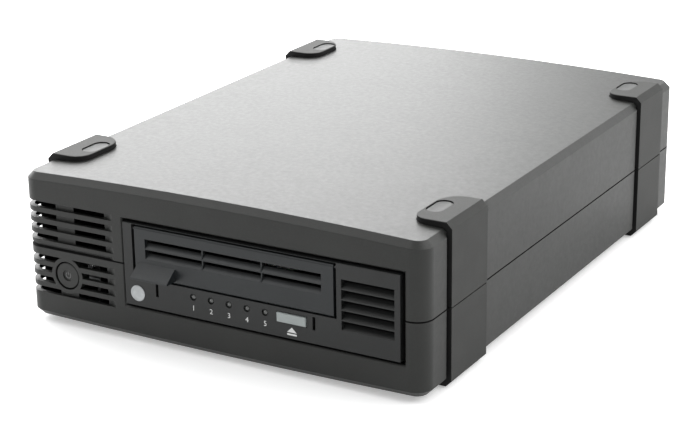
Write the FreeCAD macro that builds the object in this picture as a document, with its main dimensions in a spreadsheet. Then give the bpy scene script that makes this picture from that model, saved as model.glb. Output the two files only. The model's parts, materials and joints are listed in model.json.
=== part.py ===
import FreeCAD, Part
import math
import os
import Sketcher

# Data tape drive: a half-height drive unit in a free-standing plastic case.
# Frame: X to the right seen from the front, Y from the front to the back, Z up.
# The origin is the centre of the bounding box's bottom, on the surface that the feet stand on.

DOC = FreeCAD.newDocument("TapeDrive")
SHEET = DOC.addObject("Spreadsheet::Sheet", "Sizes")


# ---------------------------------------------------------------- driving dimensions, in mm

SIZES = {
    # case
    "case_width": 220.5,
    "case_depth": 300.0,
    "case_height": 73.4,
    "case_wall": 2.5,
    "crown": 2.2,
    "belly": 1.2,
    "seam_height": 36.5,
    "seam_gap": 0.6,
    "lip_height": 2.0,
    "lip_thickness": 1.0,
    "lip_fit": 0.15,
    "corner_radius": 8.0,
    "rim_bevel": 3.0,
    "opening_bevel": 0.7,
    "foot_height": 3.0,
    # front opening of the case, and the drive unit's place behind it
    "opening_left": -51.2,
    "opening_right": 100.0,
    "opening_low": 15.1,
    "opening_high": 59.3,
    "drive_centre": 24.0,
    "drive_low": 16.6,
    # side grips
    "grip_start": 23.0,
    "grip_length": 36.0,
    "rear_grip_start": 246.8,
    "rear_grip_length": 32.2,
    "grip_groove": 2.5,
    "grip_recess": 1.5,
    "grip_proud": 1.3,
    "leaf_reach": 19.5,
    "leaf_recess": 1.0,
    "leaf_proud": 3.2,
    "leaf_front_radius": 8.0,
    "leaf_back_radius": 12.0,
    "leaf_edge": 0.5,
    "grip_bevel": 3.0,
    "leaf_clearance": 0.2,
    "dimple_width": 8.6,
    "dimple_length": 17.0,
    "dimple_inset": 10.0,
    "dimple_start": 10.0,
    "dimple_depth": 0.9,
    "pad_radius": 5.5,
    "pad_height": 2.0,
    "pad_proud": 0.6,
    # vents at the left of the front
    "vent_pitch": 5.56,
    "vent_top": 60.0,
    "vent_slot": 3.1,
    "vent_low_top": 32.5,
    "vent_groove": 1.7,
    "vent_wrap": 9.0,
    "vent_outer_left": 102.3,
    "vent_outer_right": 91.5,
    "vent_inner_left": 80.8,
    "vent_inner_right": 62.6,
    "vent_fade": 57.0,
    "vent_taper": 4.0,
    "vent_curve": 13.0,
    # power button
    "power_x": 85.8,
    "power_height": 23.9,
    "power_radius": 6.6,
    "power_gap": 0.6,
    "power_boss": 9.2,
    "power_travel": 2.5,
    "power_length": 9.0,
    "power_stem": 2.5,
    "power_dish": 2.8,
    "power_sink": 0.28,
    "power_collar": 1.2,
    "collar_gap": 0.3,
    "stem_lap": 0.5,
    "switch_depth": 17.5,
    "switch_length": 12.0,
    "bench_wall": 2.0,
    "spring_wire": 0.4,
    # screws and posts
    "post_radius": 4.0,
    "post_x": 103.0,
    "post_front": 74.0,
    "post_back": 228.0,
    "screw_radius": 1.5,
    "screw_head": 2.9,
    "screw_head_height": 2.0,
    "screw_length": 40.0,
    "screw_seat": 8.0,
    "screw_clearance": 0.3,
    # rear panel and what it holds
    "panel_thickness": 1.2,
    "panel_overlap": 3.0,
    "rear_opening_half": 98.0,
    "rear_opening_low": 9.0,
    "rear_opening_high": 66.0,
    "fan_size": 56.0,
    "fan_depth": 20.0,
    "fan_x": 45.0,
    "fan_bore": 26.0,
    "fan_hub": 13.0,
    "fan_gap": 0.8,
    "blade_root_lean": 3.0,
    "blade_tip_lean": 5.0,
    "blade_bend": 0.4,
    "fan_sill": 0.5,
    "fan_hole_inset": 4.0,
    "fan_corner": 3.0,
    "fan_strut": 2.0,
    "fan_hub_depth": 3.0,
    "fan_shaft_short": 0.5,
    "fan_screw_head": 1.6,
    "fan_screw_length": 10.0,
    "guard_wire": 0.7,
    "panel_vent_inset": 4.0,
    "panel_vent_width": 14.0,
    "panel_vent_sill": 4.0,
    "panel_vent_tall": 3.0,
    "panel_vent_radius": 1.4,
    "panel_vent_pitch": 7.0,
    "blade_thickness": 1.4,
    "inlet_x": -80.0,
    "inlet_height": 22.0,
    "inlet_width": 27.0,
    "inlet_tall": 19.5,
    "inlet_depth": 24.0,
    "inlet_wall": 1.6,
    "inlet_corner": 5.0,
    "inlet_floor": 7.0,
    "inlet_flange_side": 3.0,
    "inlet_flange_end": 2.5,
    "inlet_flange_radius": 2.0,
    "socket_flange": 1.5,
    "inlet_pin_half_width": 1.0,
    "inlet_pin_half_height": 2.0,
    "inlet_pin_short": 4.0,
    "data_x": -22.0,
    "data_low": 20.0,
    "data_pitch": 26.0,
    "data_width": 50.0,
    "data_tall": 15.0,
    "data_depth": 15.0,
    "data_wall": 2.0,
    "data_slant": 2.0,
    "data_floor": 4.0,
    "tongue_half": 1.0,
    "tongue_inset": 4.0,
    "tongue_short": 3.0,
    # drive unit
    "bezel_width": 148.6,
    "bezel_height": 41.5,
    "bezel_proud": 0.9,
    "bezel_thickness": 4.9,
    "tray_inset": 0.8,
    "tray_length": 201.0,
    "tray_sheet": 1.0,
    "lid_inset": 0.3,
    "lug_inset": 3.6,
    "lug_front": 12.0,
    "lug_rear": 7.0,
    "lug_half": 4.0,
    "lug_wall": 0.9,
    "lug_depth": 7.5,
    "lid_screw_length": 7.0,
    "lid_screw_head": 1.0,
    "lid_press_side": 16.0,
    "lid_press_front": 118.0,
    "lid_press_rear": 14.0,
    "lid_press_radius": 6.0,
    "rail_width": 12.0,
    "rail_wall": 20.0,
    "rail_front": 16.0,
    "rail_rear": 6.0,
    "port_half": 20.0,
    "port_tall": 9.0,
    "port_sill": 1.0,
    "port_wall": 2.0,
    "door_left": -43.6,
    "door_right": 64.6,
    "door_low": 31.6,
    "door_high": 57.1,
    "door_gap": 0.4,
    "door_side_gap": 1.5,
    "door_top_gap": 0.8,
    "door_thickness": 3.0,
    "door_bevel": 0.8,
    "door_pin": 0.75,
    "door_pin_fit": 0.05,
    "door_pin_length": 7.0,
    "door_pin_grip": 2.2,
    "wedge_left": -42.0,
    "wedge_right": -21.0,
    "wedge_top": 39.2,
    "wedge_low": 33.1,
    "wedge_tip": 0.9,
    "wedge_reach": 7.1,
    "slit_left": -37.7,
    "slit_right": 58.3,
    "slit_top": 51.4,
    "slit_pitch": 5.2,
    "slit_open": 2.4,
    "slit_slope": 2.4,
    "slit_depth": 2.1,
    "slit_bridge": 0.7,
    "slit_bridge_back": 0.8,
    "slit_through": 2.4,
    "grille_left": 68.6,
    "grille_right": 95.5,
    "grille_top": 50.8,
    "grille_pitch": 5.0,
    "grille_open": 2.2,
    "grille_slope": 2.3,
    "grille_depth": 3.2,
    "lamp_first": -11.3,
    "lamp_pitch": 9.87,
    "lamp_height": 27.05,
    "lamp_radius": 1.75,
    "lens_radius": 1.3,
    "notch_left_x": -31.8,
    "notch_right_x": 54.2,
    "notch_low": 23.3,
    "notch_high": 29.8,
    "notch_width": 1.5,
    "badge_x": -43.0,
    "badge_height": 23.2,
    "badge_radius": 4.0,
    "badge_thickness": 1.2,
    "badge_proud": 0.4,
    "eject_left": 34.8,
    "eject_right": 50.1,
    "eject_low": 24.3,
    "eject_high": 28.8,
    "eject_gap": 0.35,
    "eject_proud": 0.9,
    "eject_travel": 1.5,
    "eject_stem": 1.6,
    "eject_collar": 1.0,
    "eject_switch_half": 4.0,
    "eject_switch_tall": 3.0,
    "front_board_gap": 5.0,
    # tape mechanism
    "cartridge_width": 103.6,
    "cartridge_length": 106.0,
    "cartridge_x": 10.5,
    "cartridge_low": 34.3,
    "cradle_sheet": 1.5,
    "cradle_travel": 8.0,
    "cradle_wall": 19.0,
    "rail_gap": 0.3,
    "fence_height": 1.2,
    "plate_low": 24.0,
    "plate_thickness": 2.0,
    "motor_radius": 21.0,
    "motor_height": 3.4,
    "chuck_radius": 17.0,
    "chuck_thickness": 1.6,
    "shaft_radius": 2.0,
    "shaft_fit": 0.05,
    "reel_x": 56.0,
    "reel_y": 163.0,
    "reel_radius": 36.0,
    "reel_hub": 20.0,
    "reel_flange": 1.2,
    "reel_tall": 19.0,
    "roller_radius": 5.0,
    "roller_flange": 6.6,
    "roller_tall": 16.0,
    "roller_pin": 1.5,
    "head_x": -18.0,
    "head_y": 146.0,
    "head_travel": 2.5,
    "gear_module": 1.0,
    "gear_teeth": 14.0,
    "gear_width": 4.0,
    "mesh_backlash": 0.35,
    # electronics
    "board_thickness": 1.6,
    "chip_height": 1.2,
    "board_low": 20.6,
    "interface_foot_x": 20.0,
    "interface_foot_radius": 2.0,
    "supply_board_low": 8.0,
    "supply_inset": 13.0,
    "supply_width": 38.0,
    "supply_front": 118.0,
    "supply_length": 145.0,
    "sink_front": 10.0,
    "sink_length": 50.0,
    "sink_height": 30.0,
    "sink_inset": 2.0,
    "sink_plate": 2.5,
    "sink_fin": 1.2,
    "sink_fin_reach": 7.0,
    "sink_pitch": 4.48,
    "core_half": 16.0,
    "core_half_depth": 7.0,
    "core_height": 26.0,
    "core_yoke": 5.0,
    "core_leg_half": 6.0,
    "core_window": 6.0,
    "core_place": 84.0,
    "coil_half": 11.7,
    "coil_half_depth": 12.5,
    "coil_fit": 0.2,
    "capacitor_radius": 8.0,
    "capacitor_height": 28.0,
}


class Size:
    """A length with its number and the sheet expression that it comes from."""

    def __init__(self, number, text):
        self.number = float(number)
        self.text = text

    def __add__(self, other):
        other = size(other)
        return Size(self.number + other.number, "(%s + %s)" % (self.text, other.text))

    def __sub__(self, other):
        other = size(other)
        return Size(self.number - other.number, "(%s - %s)" % (self.text, other.text))

    def __mul__(self, other):
        other = size(other)
        return Size(self.number * other.number, "(%s * %s)" % (self.text, other.text))

    def __truediv__(self, other):
        other = size(other)
        return Size(self.number / other.number, "(%s / %s)" % (self.text, other.text))

    def __neg__(self):
        return Size(-self.number, "(0 - %s)" % self.text)

    def __radd__(self, other):
        return size(other) + self

    def __rsub__(self, other):
        return size(other) - self

    def __rmul__(self, other):
        return size(other) * self


def size(value):
    """Plain numbers become sizes too, so that both can stand in one sum."""
    if isinstance(value, Size):
        return value
    return Size(value, repr(float(value)))


def ordered(first, second):
    """Two sizes, the lower one first."""
    return (first, second) if first.number < second.number else (second, first)


def fill_sheet():
    for row, (alias, number) in enumerate(SIZES.items(), start=1):
        SHEET.set("A%d" % row, alias)
        SHEET.set("B%d" % row, repr(number))
        SHEET.setAlias("B%d" % row, alias)
    DOC.recompute()


class Named:
    """Each driving dimension as an attribute, so that a sum reads like the drawing."""

    def __init__(self):
        for alias, number in SIZES.items():
            setattr(self, alias, Size(number, "Sizes." + alias))


fill_sheet()
S = Named()

NEAR = 0.001

# The front face stands half of the whole depth before the origin; the wedge on the cartridge
# door is the foremost point.
FRONT = (S.bezel_proud + S.wedge_reach - S.case_depth) / 2
BACK = FRONT + S.case_depth
HALF = S.case_width / 2
FLOOR = S.foot_height


def up(height):
    """Height above the case's bottom edge, as a Z of the part's frame."""
    return FLOOR + height


def back(depth):
    """Depth behind the case's front face, as a Y of the part's frame."""
    return FRONT + depth


SEAM = up(S.seam_height)
DRIVE_LEFT = S.drive_centre - S.bezel_width / 2
DRIVE_RIGHT = S.drive_centre + S.bezel_width / 2
DRIVE_LOW = up(S.drive_low)
DRIVE_TOP = DRIVE_LOW + S.bezel_height
BEZEL_FACE = back(-S.bezel_proud)
BEZEL_BACK = BEZEL_FACE + S.bezel_thickness


# ---------------------------------------------------------------- how features are made

def bind(thing, path, value):
    """Give a property a size; what comes from the sheet stays bound to it."""
    value = size(value)
    setattr(thing, path, value.number)
    if "Sizes." in value.text:
        thing.setExpression(path, value.text)


def origin_part(body, role):
    for feature in body.Origin.OriginFeatures:
        if feature.Role == role:
            return feature
    raise ValueError("no origin feature " + role)


def new_body(label):
    body = DOC.addObject("PartDesign::Body", label)
    body.Label = label
    return body


class Drawing:
    """A sketch on one origin plane of a body, its points bound to the sheet.

    On XY the sketch axes are X and Y, on XZ they are X and Z, on YZ they are Y and Z.
    """

    PLANES = {"XY": ("XY_Plane", 1), "XZ": ("XZ_Plane", -1), "YZ": ("YZ_Plane", 1)}

    def __init__(self, body, plane, height):
        role, sign = self.PLANES[plane]
        self.sketch = body.newObject("Sketcher::SketchObject", "Outline")
        self.sketch.AttachmentSupport = [(origin_part(body, role), "")]
        self.sketch.MapMode = "FlatFace"
        bind_offset(self.sketch, size(height) * sign)

    def fix(self, kind, *where, value):
        index = self.sketch.addConstraint(Sketcher.Constraint(kind, *where, value.number))
        if "Sizes." in value.text:
            self.sketch.setExpression("Constraints[%d]" % index, value.text)

    def pin(self, line, end, point):
        """Hold one end of a line, or a centre, at a point."""
        self.fix("DistanceX", -1, 1, line, end, value=size(point[0]))
        self.fix("DistanceY", -1, 1, line, end, value=size(point[1]))

    def polygon(self, *points):
        """Sides through the points; a point's third entry makes the side after it an arc of that
        radius, positive with its centre on the left of the way round."""
        spots = [FreeCAD.Vector(size(p[0]).number, size(p[1]).number, 0) for p in points]
        first = self.sketch.GeometryCount
        count = len(points)
        ends = []
        for index, point in enumerate(points):
            here, there = spots[index], spots[(index + 1) % count]
            if len(point) == 3:
                radius = size(point[2])
                arc, start, stop = arc_through(here, there, radius.number)
                line = self.sketch.addGeometry(arc, False)
                ends.append((start, stop))
            else:
                line = self.sketch.addGeometry(Part.LineSegment(here, there), False)
                ends.append((1, 2))
        for index in range(count):
            after = (index + 1) % count
            self.sketch.addConstraint(
                Sketcher.Constraint("Coincident", first + index, ends[index][1], first + after, ends[after][0])
            )
        for index, point in enumerate(points):
            self.pin(first + index, ends[index][0], point)
            if len(point) == 3:
                radius = size(point[2])
                value = radius if radius.number > 0 else -radius
                self.fix("Radius", first + index, value=value)

    def rectangle(self, left, low, right, high):
        self.polygon((left, low), (right, low), (right, high), (left, high))

    def rounded(self, left, low, right, high, radius):
        """A rectangle whose corners are quarter circles."""
        left, low, right, high = size(left), size(low), size(right), size(high)
        self.polygon(
            (left + radius, low), (right - radius, low, radius),
            (right, low + radius), (right, high - radius, radius),
            (right - radius, high), (left + radius, high, radius),
            (left, high - radius), (left, low + radius, radius),
        )

    def circle(self, across, along, radius):
        across, along, radius = size(across), size(along), size(radius)
        centre = FreeCAD.Vector(across.number, along.number, 0)
        line = self.sketch.addGeometry(Part.Circle(centre, FreeCAD.Vector(0, 0, 1), radius.number), False)
        self.fix("Radius", line, value=radius)
        self.pin(line, 3, (across, along))


def bind_offset(sketch, height):
    if "Sizes." in height.text:
        sketch.setExpression("AttachmentOffset.Base.z", height.text)
    else:
        sketch.AttachmentOffset = FreeCAD.Placement(
            FreeCAD.Vector(0, 0, height.number), FreeCAD.Rotation())


def arc_through(here, there, radius):
    """The short arc between two points and its first and last vertex on the way.

    A positive radius has its centre on the left of the way, a negative one on the right.
    """
    chord = there - here
    reach = math.sqrt(max(radius * radius - chord.Length ** 2 / 4, 0.0))
    side = FreeCAD.Vector(-chord.y, chord.x, 0).normalize()
    centre = (here + there) * 0.5 + side * math.copysign(reach, radius)
    start = math.atan2(here.y - centre.y, here.x - centre.x)
    stop = math.atan2(there.y - centre.y, there.x - centre.x)
    circle = Part.Circle(centre, FreeCAD.Vector(0, 0, 1), abs(radius))
    if radius > 0:
        return Part.ArcOfCircle(circle, start, stop), 1, 2
    return Part.ArcOfCircle(circle, stop, start), 2, 1


def pad(body, plane, start, end, draw):
    """Material between two levels along the plane's axis; draw(drawing) gives its outline."""
    drawing = Drawing(body, plane, start)
    draw(drawing)
    feature = body.newObject("PartDesign::Pad", "Pad")
    feature.Profile = drawing.sketch
    bind(feature, "Length", size(end) - start)
    feature.Reversed = plane == "XZ"
    feature.Refine = False
    return feature


def pocket(body, plane, start, end, draw):
    """A cut between two levels along the plane's axis."""
    drawing = Drawing(body, plane, start)
    draw(drawing)
    feature = body.newObject("PartDesign::Pocket", "Pocket")
    feature.Profile = drawing.sketch
    bind(feature, "Length", size(end) - start)
    feature.Reversed = plane != "XZ"
    feature.Refine = False
    return feature


def row(body, features, role, length, count):
    """Copies of features along an origin axis; length runs from the first to the last."""
    pattern = body.newObject("PartDesign::LinearPattern", "Row")
    pattern.Originals = features
    pattern.Direction = (origin_part(body, role), [""])
    length = size(length)
    if length.number < 0:
        pattern.Reversed = True
        length = -length
    bind(pattern, "Length", length)
    pattern.Occurrences = count
    pattern.Refine = False
    body.Tip = pattern
    return pattern


def ring(body, features, role, count):
    """Copies of features evenly round an origin axis."""
    pattern = body.newObject("PartDesign::PolarPattern", "Ring")
    pattern.Originals = features
    pattern.Axis = (origin_part(body, role), [""])
    pattern.Angle = 360
    pattern.Occurrences = count
    pattern.Refine = False
    body.Tip = pattern
    return pattern


def trim_edges(body, kind, measure, amount, choose):
    """Fillet or chamfer the edges of the body so far whose middle point suits choose()."""
    base = body.Tip
    base.recompute(True)
    names = []
    for index, edge in enumerate(base.Shape.Edges, start=1):
        middle = edge.valueAt((edge.FirstParameter + edge.LastParameter) / 2)
        if choose(edge, middle):
            names.append("Edge%d" % index)
    if not names:
        raise ValueError("no edge to trim on " + body.Label)
    feature = body.newObject("PartDesign::" + kind, kind)
    feature.Base = (base, names)
    bind(feature, measure, amount)
    return feature


def round_edges(body, radius, choose):
    return trim_edges(body, "Fillet", "Radius", radius, choose)


def bevel_edges(body, width, choose):
    return trim_edges(body, "Chamfer", "Size", width, choose)


def place(thing, across, along, height):
    for letter, value in zip("xyz", (across, along, height)):
        value = size(value)
        if "Sizes." in value.text:
            thing.setExpression("Placement.Base." + letter, value.text)
        else:
            base = thing.Placement.Base
            setattr(base, letter, value.number)
            thing.Placement = FreeCAD.Placement(base, thing.Placement.Rotation)


def block(label, left, right, front, rear, low, high):
    """A box between six levels."""
    box = DOC.addObject("Part::Box", label)
    bind(box, "Length", size(right) - left)
    bind(box, "Width", size(rear) - front)
    bind(box, "Height", size(high) - low)
    place(box, left, front, low)
    return box


TURNS = {
    "Z": FreeCAD.Rotation(),
    "Y": FreeCAD.Rotation(FreeCAD.Vector(1, 0, 0), -90),
    "X": FreeCAD.Rotation(FreeCAD.Vector(0, 1, 0), 90),
}


def rod(label, axis, start, end, across, along, radius):
    """A cylinder along X, Y or Z; across and along are its other two coordinates in X, Y, Z order."""
    cylinder = DOC.addObject("Part::Cylinder", label)
    bind(cylinder, "Radius", radius)
    bind(cylinder, "Height", size(end) - start)
    cylinder.Placement = FreeCAD.Placement(FreeCAD.Vector(), TURNS[axis])
    where = {"X": (start, across, along), "Y": (across, start, along), "Z": (across, along, start)}
    place(cylinder, *where[axis])
    return cylinder


def less(label, base, *tools):
    """Base with every tool cut away."""
    result = base
    for index, tool in enumerate(tools):
        name = label if index == len(tools) - 1 else label + "_step"
        cut = DOC.addObject("Part::Cut", name)
        cut.Base = result
        cut.Tool = tool
        result = cut
    return result


def joined(label, *pieces):
    fuse = DOC.addObject("Part::MultiFuse", label)
    fuse.Shapes = list(pieces)
    return fuse


def group(label, *pieces):
    """Separate solids of one kind that share a node."""
    compound = DOC.addObject("Part::Compound", label)
    compound.Links = list(pieces)
    return compound


NODES = {}
STANDOFFS = []


def keep(node, thing):
    """Register a finished piece under its node name; a body's last feature tidies its faces."""
    thing.Label = node
    if thing.TypeId == "PartDesign::Body":
        thing.Tip.Refine = True
    NODES[node] = thing
    return thing


def vertical(edge):
    points = [vertex.Point for vertex in edge.Vertexes]
    return len(points) == 2 and (points[0] - points[1]).cross(FreeCAD.Vector(0, 0, 1)).Length < 1e-6


# ---------------------------------------------------------------- the case

ENDS = {
    "front": (back(S.grip_start), S.grip_length),
    "rear": (back(S.rear_grip_start), S.rear_grip_length),
}
SIDES = {"left": -1, "right": 1}
SHELL_LOW = {"upper": SEAM + S.seam_gap / 2, "lower": FLOOR}
SHELL_HIGH = {"upper": up(S.case_height), "lower": SEAM - S.seam_gap / 2}
POSTS = [
    (S.post_x * side, back(depth)) for side in (-1, 1) for depth in (S.post_front, S.post_back)
]
POWER_X = -S.power_x
POWER_Z = up(S.power_height)


def bow_radius(rise):
    """Radius of the arc that spans the case's width and rises by that much."""
    return (HALF * HALF + rise * rise) / (rise * 2)


def leaf(drawing, side, start, length, outer, grow):
    """Outline of a grip's leaf, seen from above, pushed out by grow all round."""
    inner = HALF - S.leaf_reach - grow
    front, rear = start - grow, start + length + grow
    tight, wide = S.leaf_front_radius + grow, S.leaf_back_radius + grow
    if side > 0:
        drawing.polygon(
            (outer, front), (outer, rear), (inner + wide, rear, wide), (inner, rear - wide),
            (inner, front + tight, tight), (inner + tight, front))
    else:
        drawing.polygon(
            (-outer, rear), (-outer, front), (-inner - tight, front, tight), (-inner, front + tight),
            (-inner, rear - wide, wide), (-inner - wide, rear))


def vent_groove(drawing):
    """A shallow groove along the front that runs round the left corner onto the side."""
    edge = -HALF + S.vent_groove
    depth = FRONT + S.vent_groove
    drawing.polygon(
        (-S.vent_fade, FRONT - 1),
        (-S.vent_fade, FRONT),
        (-S.vent_fade - S.vent_taper, depth),
        (edge + S.vent_curve, depth, -S.vent_curve),
        (edge, depth + S.vent_curve),
        (edge, depth + S.vent_curve + S.vent_wrap),
        (-HALF, depth + S.vent_curve + S.vent_wrap + S.vent_taper),
        (-HALF - 1, depth + S.vent_curve + S.vent_wrap + S.vent_taper),
        (-HALF - 1, FRONT - 1),
    )


def add_vents(body, top):
    """Four rows of grooves, each with two slots through the front wall."""
    low = top - S.vent_slot
    through = (FRONT - 1, FRONT + S.case_wall + 1)
    cuts = [pocket(body, "XY", low, top, vent_groove)]
    for left, right in ((S.vent_outer_left, S.vent_outer_right), (S.vent_inner_left, S.vent_inner_right)):
        cuts.append(pocket(body, "XZ", *through, lambda d, a=left, b=right: d.rectangle(-a, low, -b, top)))
    row(body, cuts, "Z_Axis", S.vent_pitch * -3, 4)


def add_posts(body, part):
    """Screw posts with their holes; the lower ones take the screws' heads from below."""
    low, high = SHELL_LOW[part], SHELL_HIGH[part]

    def circles(radius):
        return lambda drawing: [drawing.circle(across, along, radius) for across, along in POSTS]

    if part == "upper":
        pad(body, "XY", low, high - S.case_wall / 2, circles(S.post_radius))
        pocket(body, "XY", low, up(S.screw_seat + S.screw_length + 1), circles(S.screw_radius))
        return
    pad(body, "XY", low + S.case_wall / 2, high, circles(S.post_radius))
    pocket(body, "XY", low - S.belly, high, circles(S.screw_radius + S.screw_clearance))
    pocket(body, "XY", low - S.belly, up(S.screw_seat), circles(S.screw_head + S.screw_clearance))


def grip_recesses(drawing):
    """The strip of each side wall that a grip and the groove before it take up."""
    for side in SIDES.values():
        near, far = ordered((HALF - S.grip_recess) * side, (HALF + 1) * side)
        for start, length in ENDS.values():
            drawing.rectangle(near, start - S.grip_groove, far, start + length)


def leaf_recesses(drawing):
    for side in SIDES.values():
        for start, length in ENDS.values():
            leaf(drawing, side, start, length, HALF + 1, S.leaf_clearance)


def add_lip(body, part):
    """The lower half's lip stands inside a rebate of the upper half, so that the seam is closed."""
    inset = S.case_wall - S.lip_thickness
    if part == "upper":
        inset = inset - S.lip_fit
        pocket(body, "XY", SEAM, SEAM + S.lip_height + S.lip_fit, lambda d: d.rounded(
            -HALF + inset, FRONT + inset, HALF - inset, BACK - inset, S.corner_radius - inset))
        return

    def band(drawing):
        for step in (inset, S.case_wall):
            drawing.rounded(-HALF + step, FRONT + step, HALF - step, BACK - step, S.corner_radius - step)

    pad(body, "XY", SEAM - S.lip_height, SEAM + S.lip_height, band)


def at_opening(point):
    """Whether a point on the front face lies on the rim of the opening for the drive."""
    sides = (S.opening_left.number, S.opening_right.number)
    levels = (up(S.opening_low).number, up(S.opening_high).number)
    on_side = any(abs(point.x - side) < NEAR for side in sides)
    on_level = any(abs(point.z - level) < NEAR for level in levels)
    return abs(point.y - FRONT.number) < NEAR and (on_side or on_level)


def case_shell(label, part):
    """Half of the case: a rounded tray with a bowed face, open at the seam."""
    body = new_body(label)
    low, high = SHELL_LOW[part], SHELL_HIGH[part]
    rise = S.crown if part == "upper" else S.belly
    bow = bow_radius(rise)
    if part == "upper":
        pad(body, "XZ", FRONT, BACK, lambda d: d.polygon(
            (-HALF, low), (HALF, low), (HALF, high, bow), (-HALF, high)))
    else:
        pad(body, "XZ", FRONT, BACK, lambda d: d.polygon(
            (-HALF, low, bow), (HALF, low), (HALF, high), (-HALF, high)))

    def outside_corners(drawing):
        drawing.rectangle(-HALF - 1, FRONT - 1, HALF + 1, BACK + 1)
        drawing.rounded(-HALF, FRONT, HALF, BACK, S.corner_radius)

    pocket(body, "XY", low - rise - 1, high + rise + 1, outside_corners)
    level = high.number if part == "upper" else low.number
    outward = 1 if part == "upper" else -1
    bevel_edges(body, S.rim_bevel, lambda edge, middle: (middle.z - level) * outward > -NEAR)
    inner = S.case_wall
    floor = (low - 1, high - inner) if part == "upper" else (low + inner, high + 1)
    pocket(body, "XY", *floor, lambda d: d.rounded(
        -HALF + inner, FRONT + inner, HALF - inner, BACK - inner, S.corner_radius - inner))

    add_lip(body, part)
    beyond = S.lip_height + 1
    sill, head = (low - 1, up(S.opening_high)) if part == "upper" else (up(S.opening_low), high + beyond)
    pocket(body, "XZ", FRONT - 1, FRONT + inner + 1, lambda d: d.rectangle(
        S.opening_left, sill, S.opening_right, head))
    bevel_edges(body, S.opening_bevel, lambda edge, middle: at_opening(middle))
    sill, head = (low - 1, up(S.rear_opening_high)) if part == "upper" else (
        up(S.rear_opening_low), high + beyond)
    pocket(body, "XZ", BACK - inner - 1, BACK + 1, lambda d: d.rectangle(
        -S.rear_opening_half, sill, S.rear_opening_half, head))
    add_vents(body, up(S.vent_top if part == "upper" else S.vent_low_top))
    if part == "upper":
        pocket(body, "XY", low - 1, low + S.vent_slot / 2, vent_groove)

    pocket(body, "XY", low - rise - 1, high + rise + S.lip_height, grip_recesses)
    levels = (high - S.leaf_recess, high + rise + 1) if part == "upper" else (
        low - rise - 1, low + S.leaf_recess)
    pocket(body, "XY", *levels, leaf_recesses)
    add_posts(body, part)
    if part == "lower":
        pad(body, "XZ", FRONT, FRONT + inner, lambda d: d.circle(POWER_X, POWER_Z, S.power_boss))
        pocket(body, "XZ", FRONT - 1, FRONT + inner + 1, lambda d: d.circle(
            POWER_X, POWER_Z, S.power_radius + S.power_gap))
    return keep(label, body)


def grip(end, side_name, part):
    """A corner grip: a bar on the case's side and a leaf that laps onto the top or bottom."""
    side = SIDES[side_name]
    start, length = ENDS[end]
    body = new_body("grip_%s_%s" % (end, side_name))
    inner = (HALF - S.grip_recess) * side
    outer = (HALF + S.grip_proud) * side
    near, far = ordered(inner, outer)
    if part == "upper":
        low, high = SHELL_LOW[part], up(S.case_height) + S.leaf_proud
        seat, face = high - S.leaf_proud - S.leaf_recess, high
        levels = (seat, high)
    else:
        low, high = size(S.pad_proud), SHELL_HIGH[part]
        face = low
        levels = (low, FLOOR + S.leaf_recess)
    pad(body, "XY", low, high, lambda d: d.rectangle(near, start, far, start + length))
    pad(body, "XY", *levels, lambda d: leaf(d, side, start, length, HALF + S.grip_proud, size(0)))
    body.Tip.Refine = True
    bevel_edges(body, S.grip_bevel, lambda edge, middle: abs(middle.z - face.number) < NEAR
                and abs(middle.x - outer.number) < NEAR)
    inward = (outer - S.grip_bevel * side).number
    round_edges(body, S.leaf_edge, lambda edge, middle: abs(middle.z - face.number) < NEAR
                and abs(middle.x - inward) > NEAR)
    if part == "upper":
        left, right = ordered((HALF - S.dimple_inset) * side, (HALF - S.dimple_inset - S.dimple_width) * side)
        pocket(body, "XY", high - S.dimple_depth, high + 1, lambda d: d.rounded(
            left, start + S.dimple_start, right, start + S.dimple_start + S.dimple_length,
            S.dimple_width / 2 - 0.1))
    else:
        pocket(body, "XY", low - 1, S.pad_height, lambda d: d.circle(
            *pad_centre(side, start), S.pad_radius))
    body.Tip.Refine = True
    return body


def grips(part):
    """The four grips of one half of the case."""
    return keep(part + "_grips", group(part + "_grips", *[
        grip(end, side, part) for end in ENDS for side in SIDES]))


def pad_centre(side, start):
    return (HALF - S.leaf_reach / 2) * side, start + S.leaf_front_radius + S.pad_radius


def foot_pads():
    pads = []
    for side in SIDES.values():
        for start, _ in ENDS.values():
            across, along = pad_centre(side, start)
            pads.append(rod("foot_pad", "Z", size(0), S.pad_height, across, along, S.pad_radius))
    return keep("foot_pads", group("foot_pads", *pads))


def case_screws():
    """Four screws up through the lower posts into the upper ones."""
    screws = []
    for across, along in POSTS:
        seat = up(S.screw_seat)
        head = rod("screw_head", "Z", seat - S.screw_head_height, seat, across, along, S.screw_head)
        socket = DOC.addObject("Part::Prism", "screw_socket")
        socket.Polygon = 6
        bind(socket, "Circumradius", S.screw_radius)
        bind(socket, "Height", S.screw_head_height / 2)
        place(socket, across, along, seat - S.screw_head_height)
        shank = rod("screw_shank", "Z", seat, seat + S.screw_length, across, along, S.screw_radius)
        screws.append(joined("screw", less("screw_cap", head, socket), shank))
    return keep("case_screws", group("case_screws", *screws))


# ---------------------------------------------------------------- the power button

def power_button():
    """A round cap with a dished middle, a collar behind the wall and a stem."""
    body = new_body("power_button")
    face = back(S.power_sink)
    collar = back(S.case_wall + S.collar_gap)
    centre = (POWER_X, POWER_Z)
    pad(body, "XZ", face, face + S.power_length, lambda d: d.circle(*centre, S.power_radius))
    round_edges(body, S.power_gap, lambda edge, middle: middle.y < face.number + NEAR)
    pad(body, "XZ", collar, collar + S.power_collar, lambda d: d.circle(*centre, S.power_boss))
    pad(body, "XZ", collar, POWER_SWITCH_FACE + S.stem_lap, lambda d: d.circle(*centre, S.power_stem))
    pocket(body, "XZ", face - 1, face + S.power_gap, lambda d: d.circle(*centre, S.power_dish))
    return keep("power_button", body)


POWER_SWITCH_FACE = back(S.switch_depth)
SPRING_TURNS = 5


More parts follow.
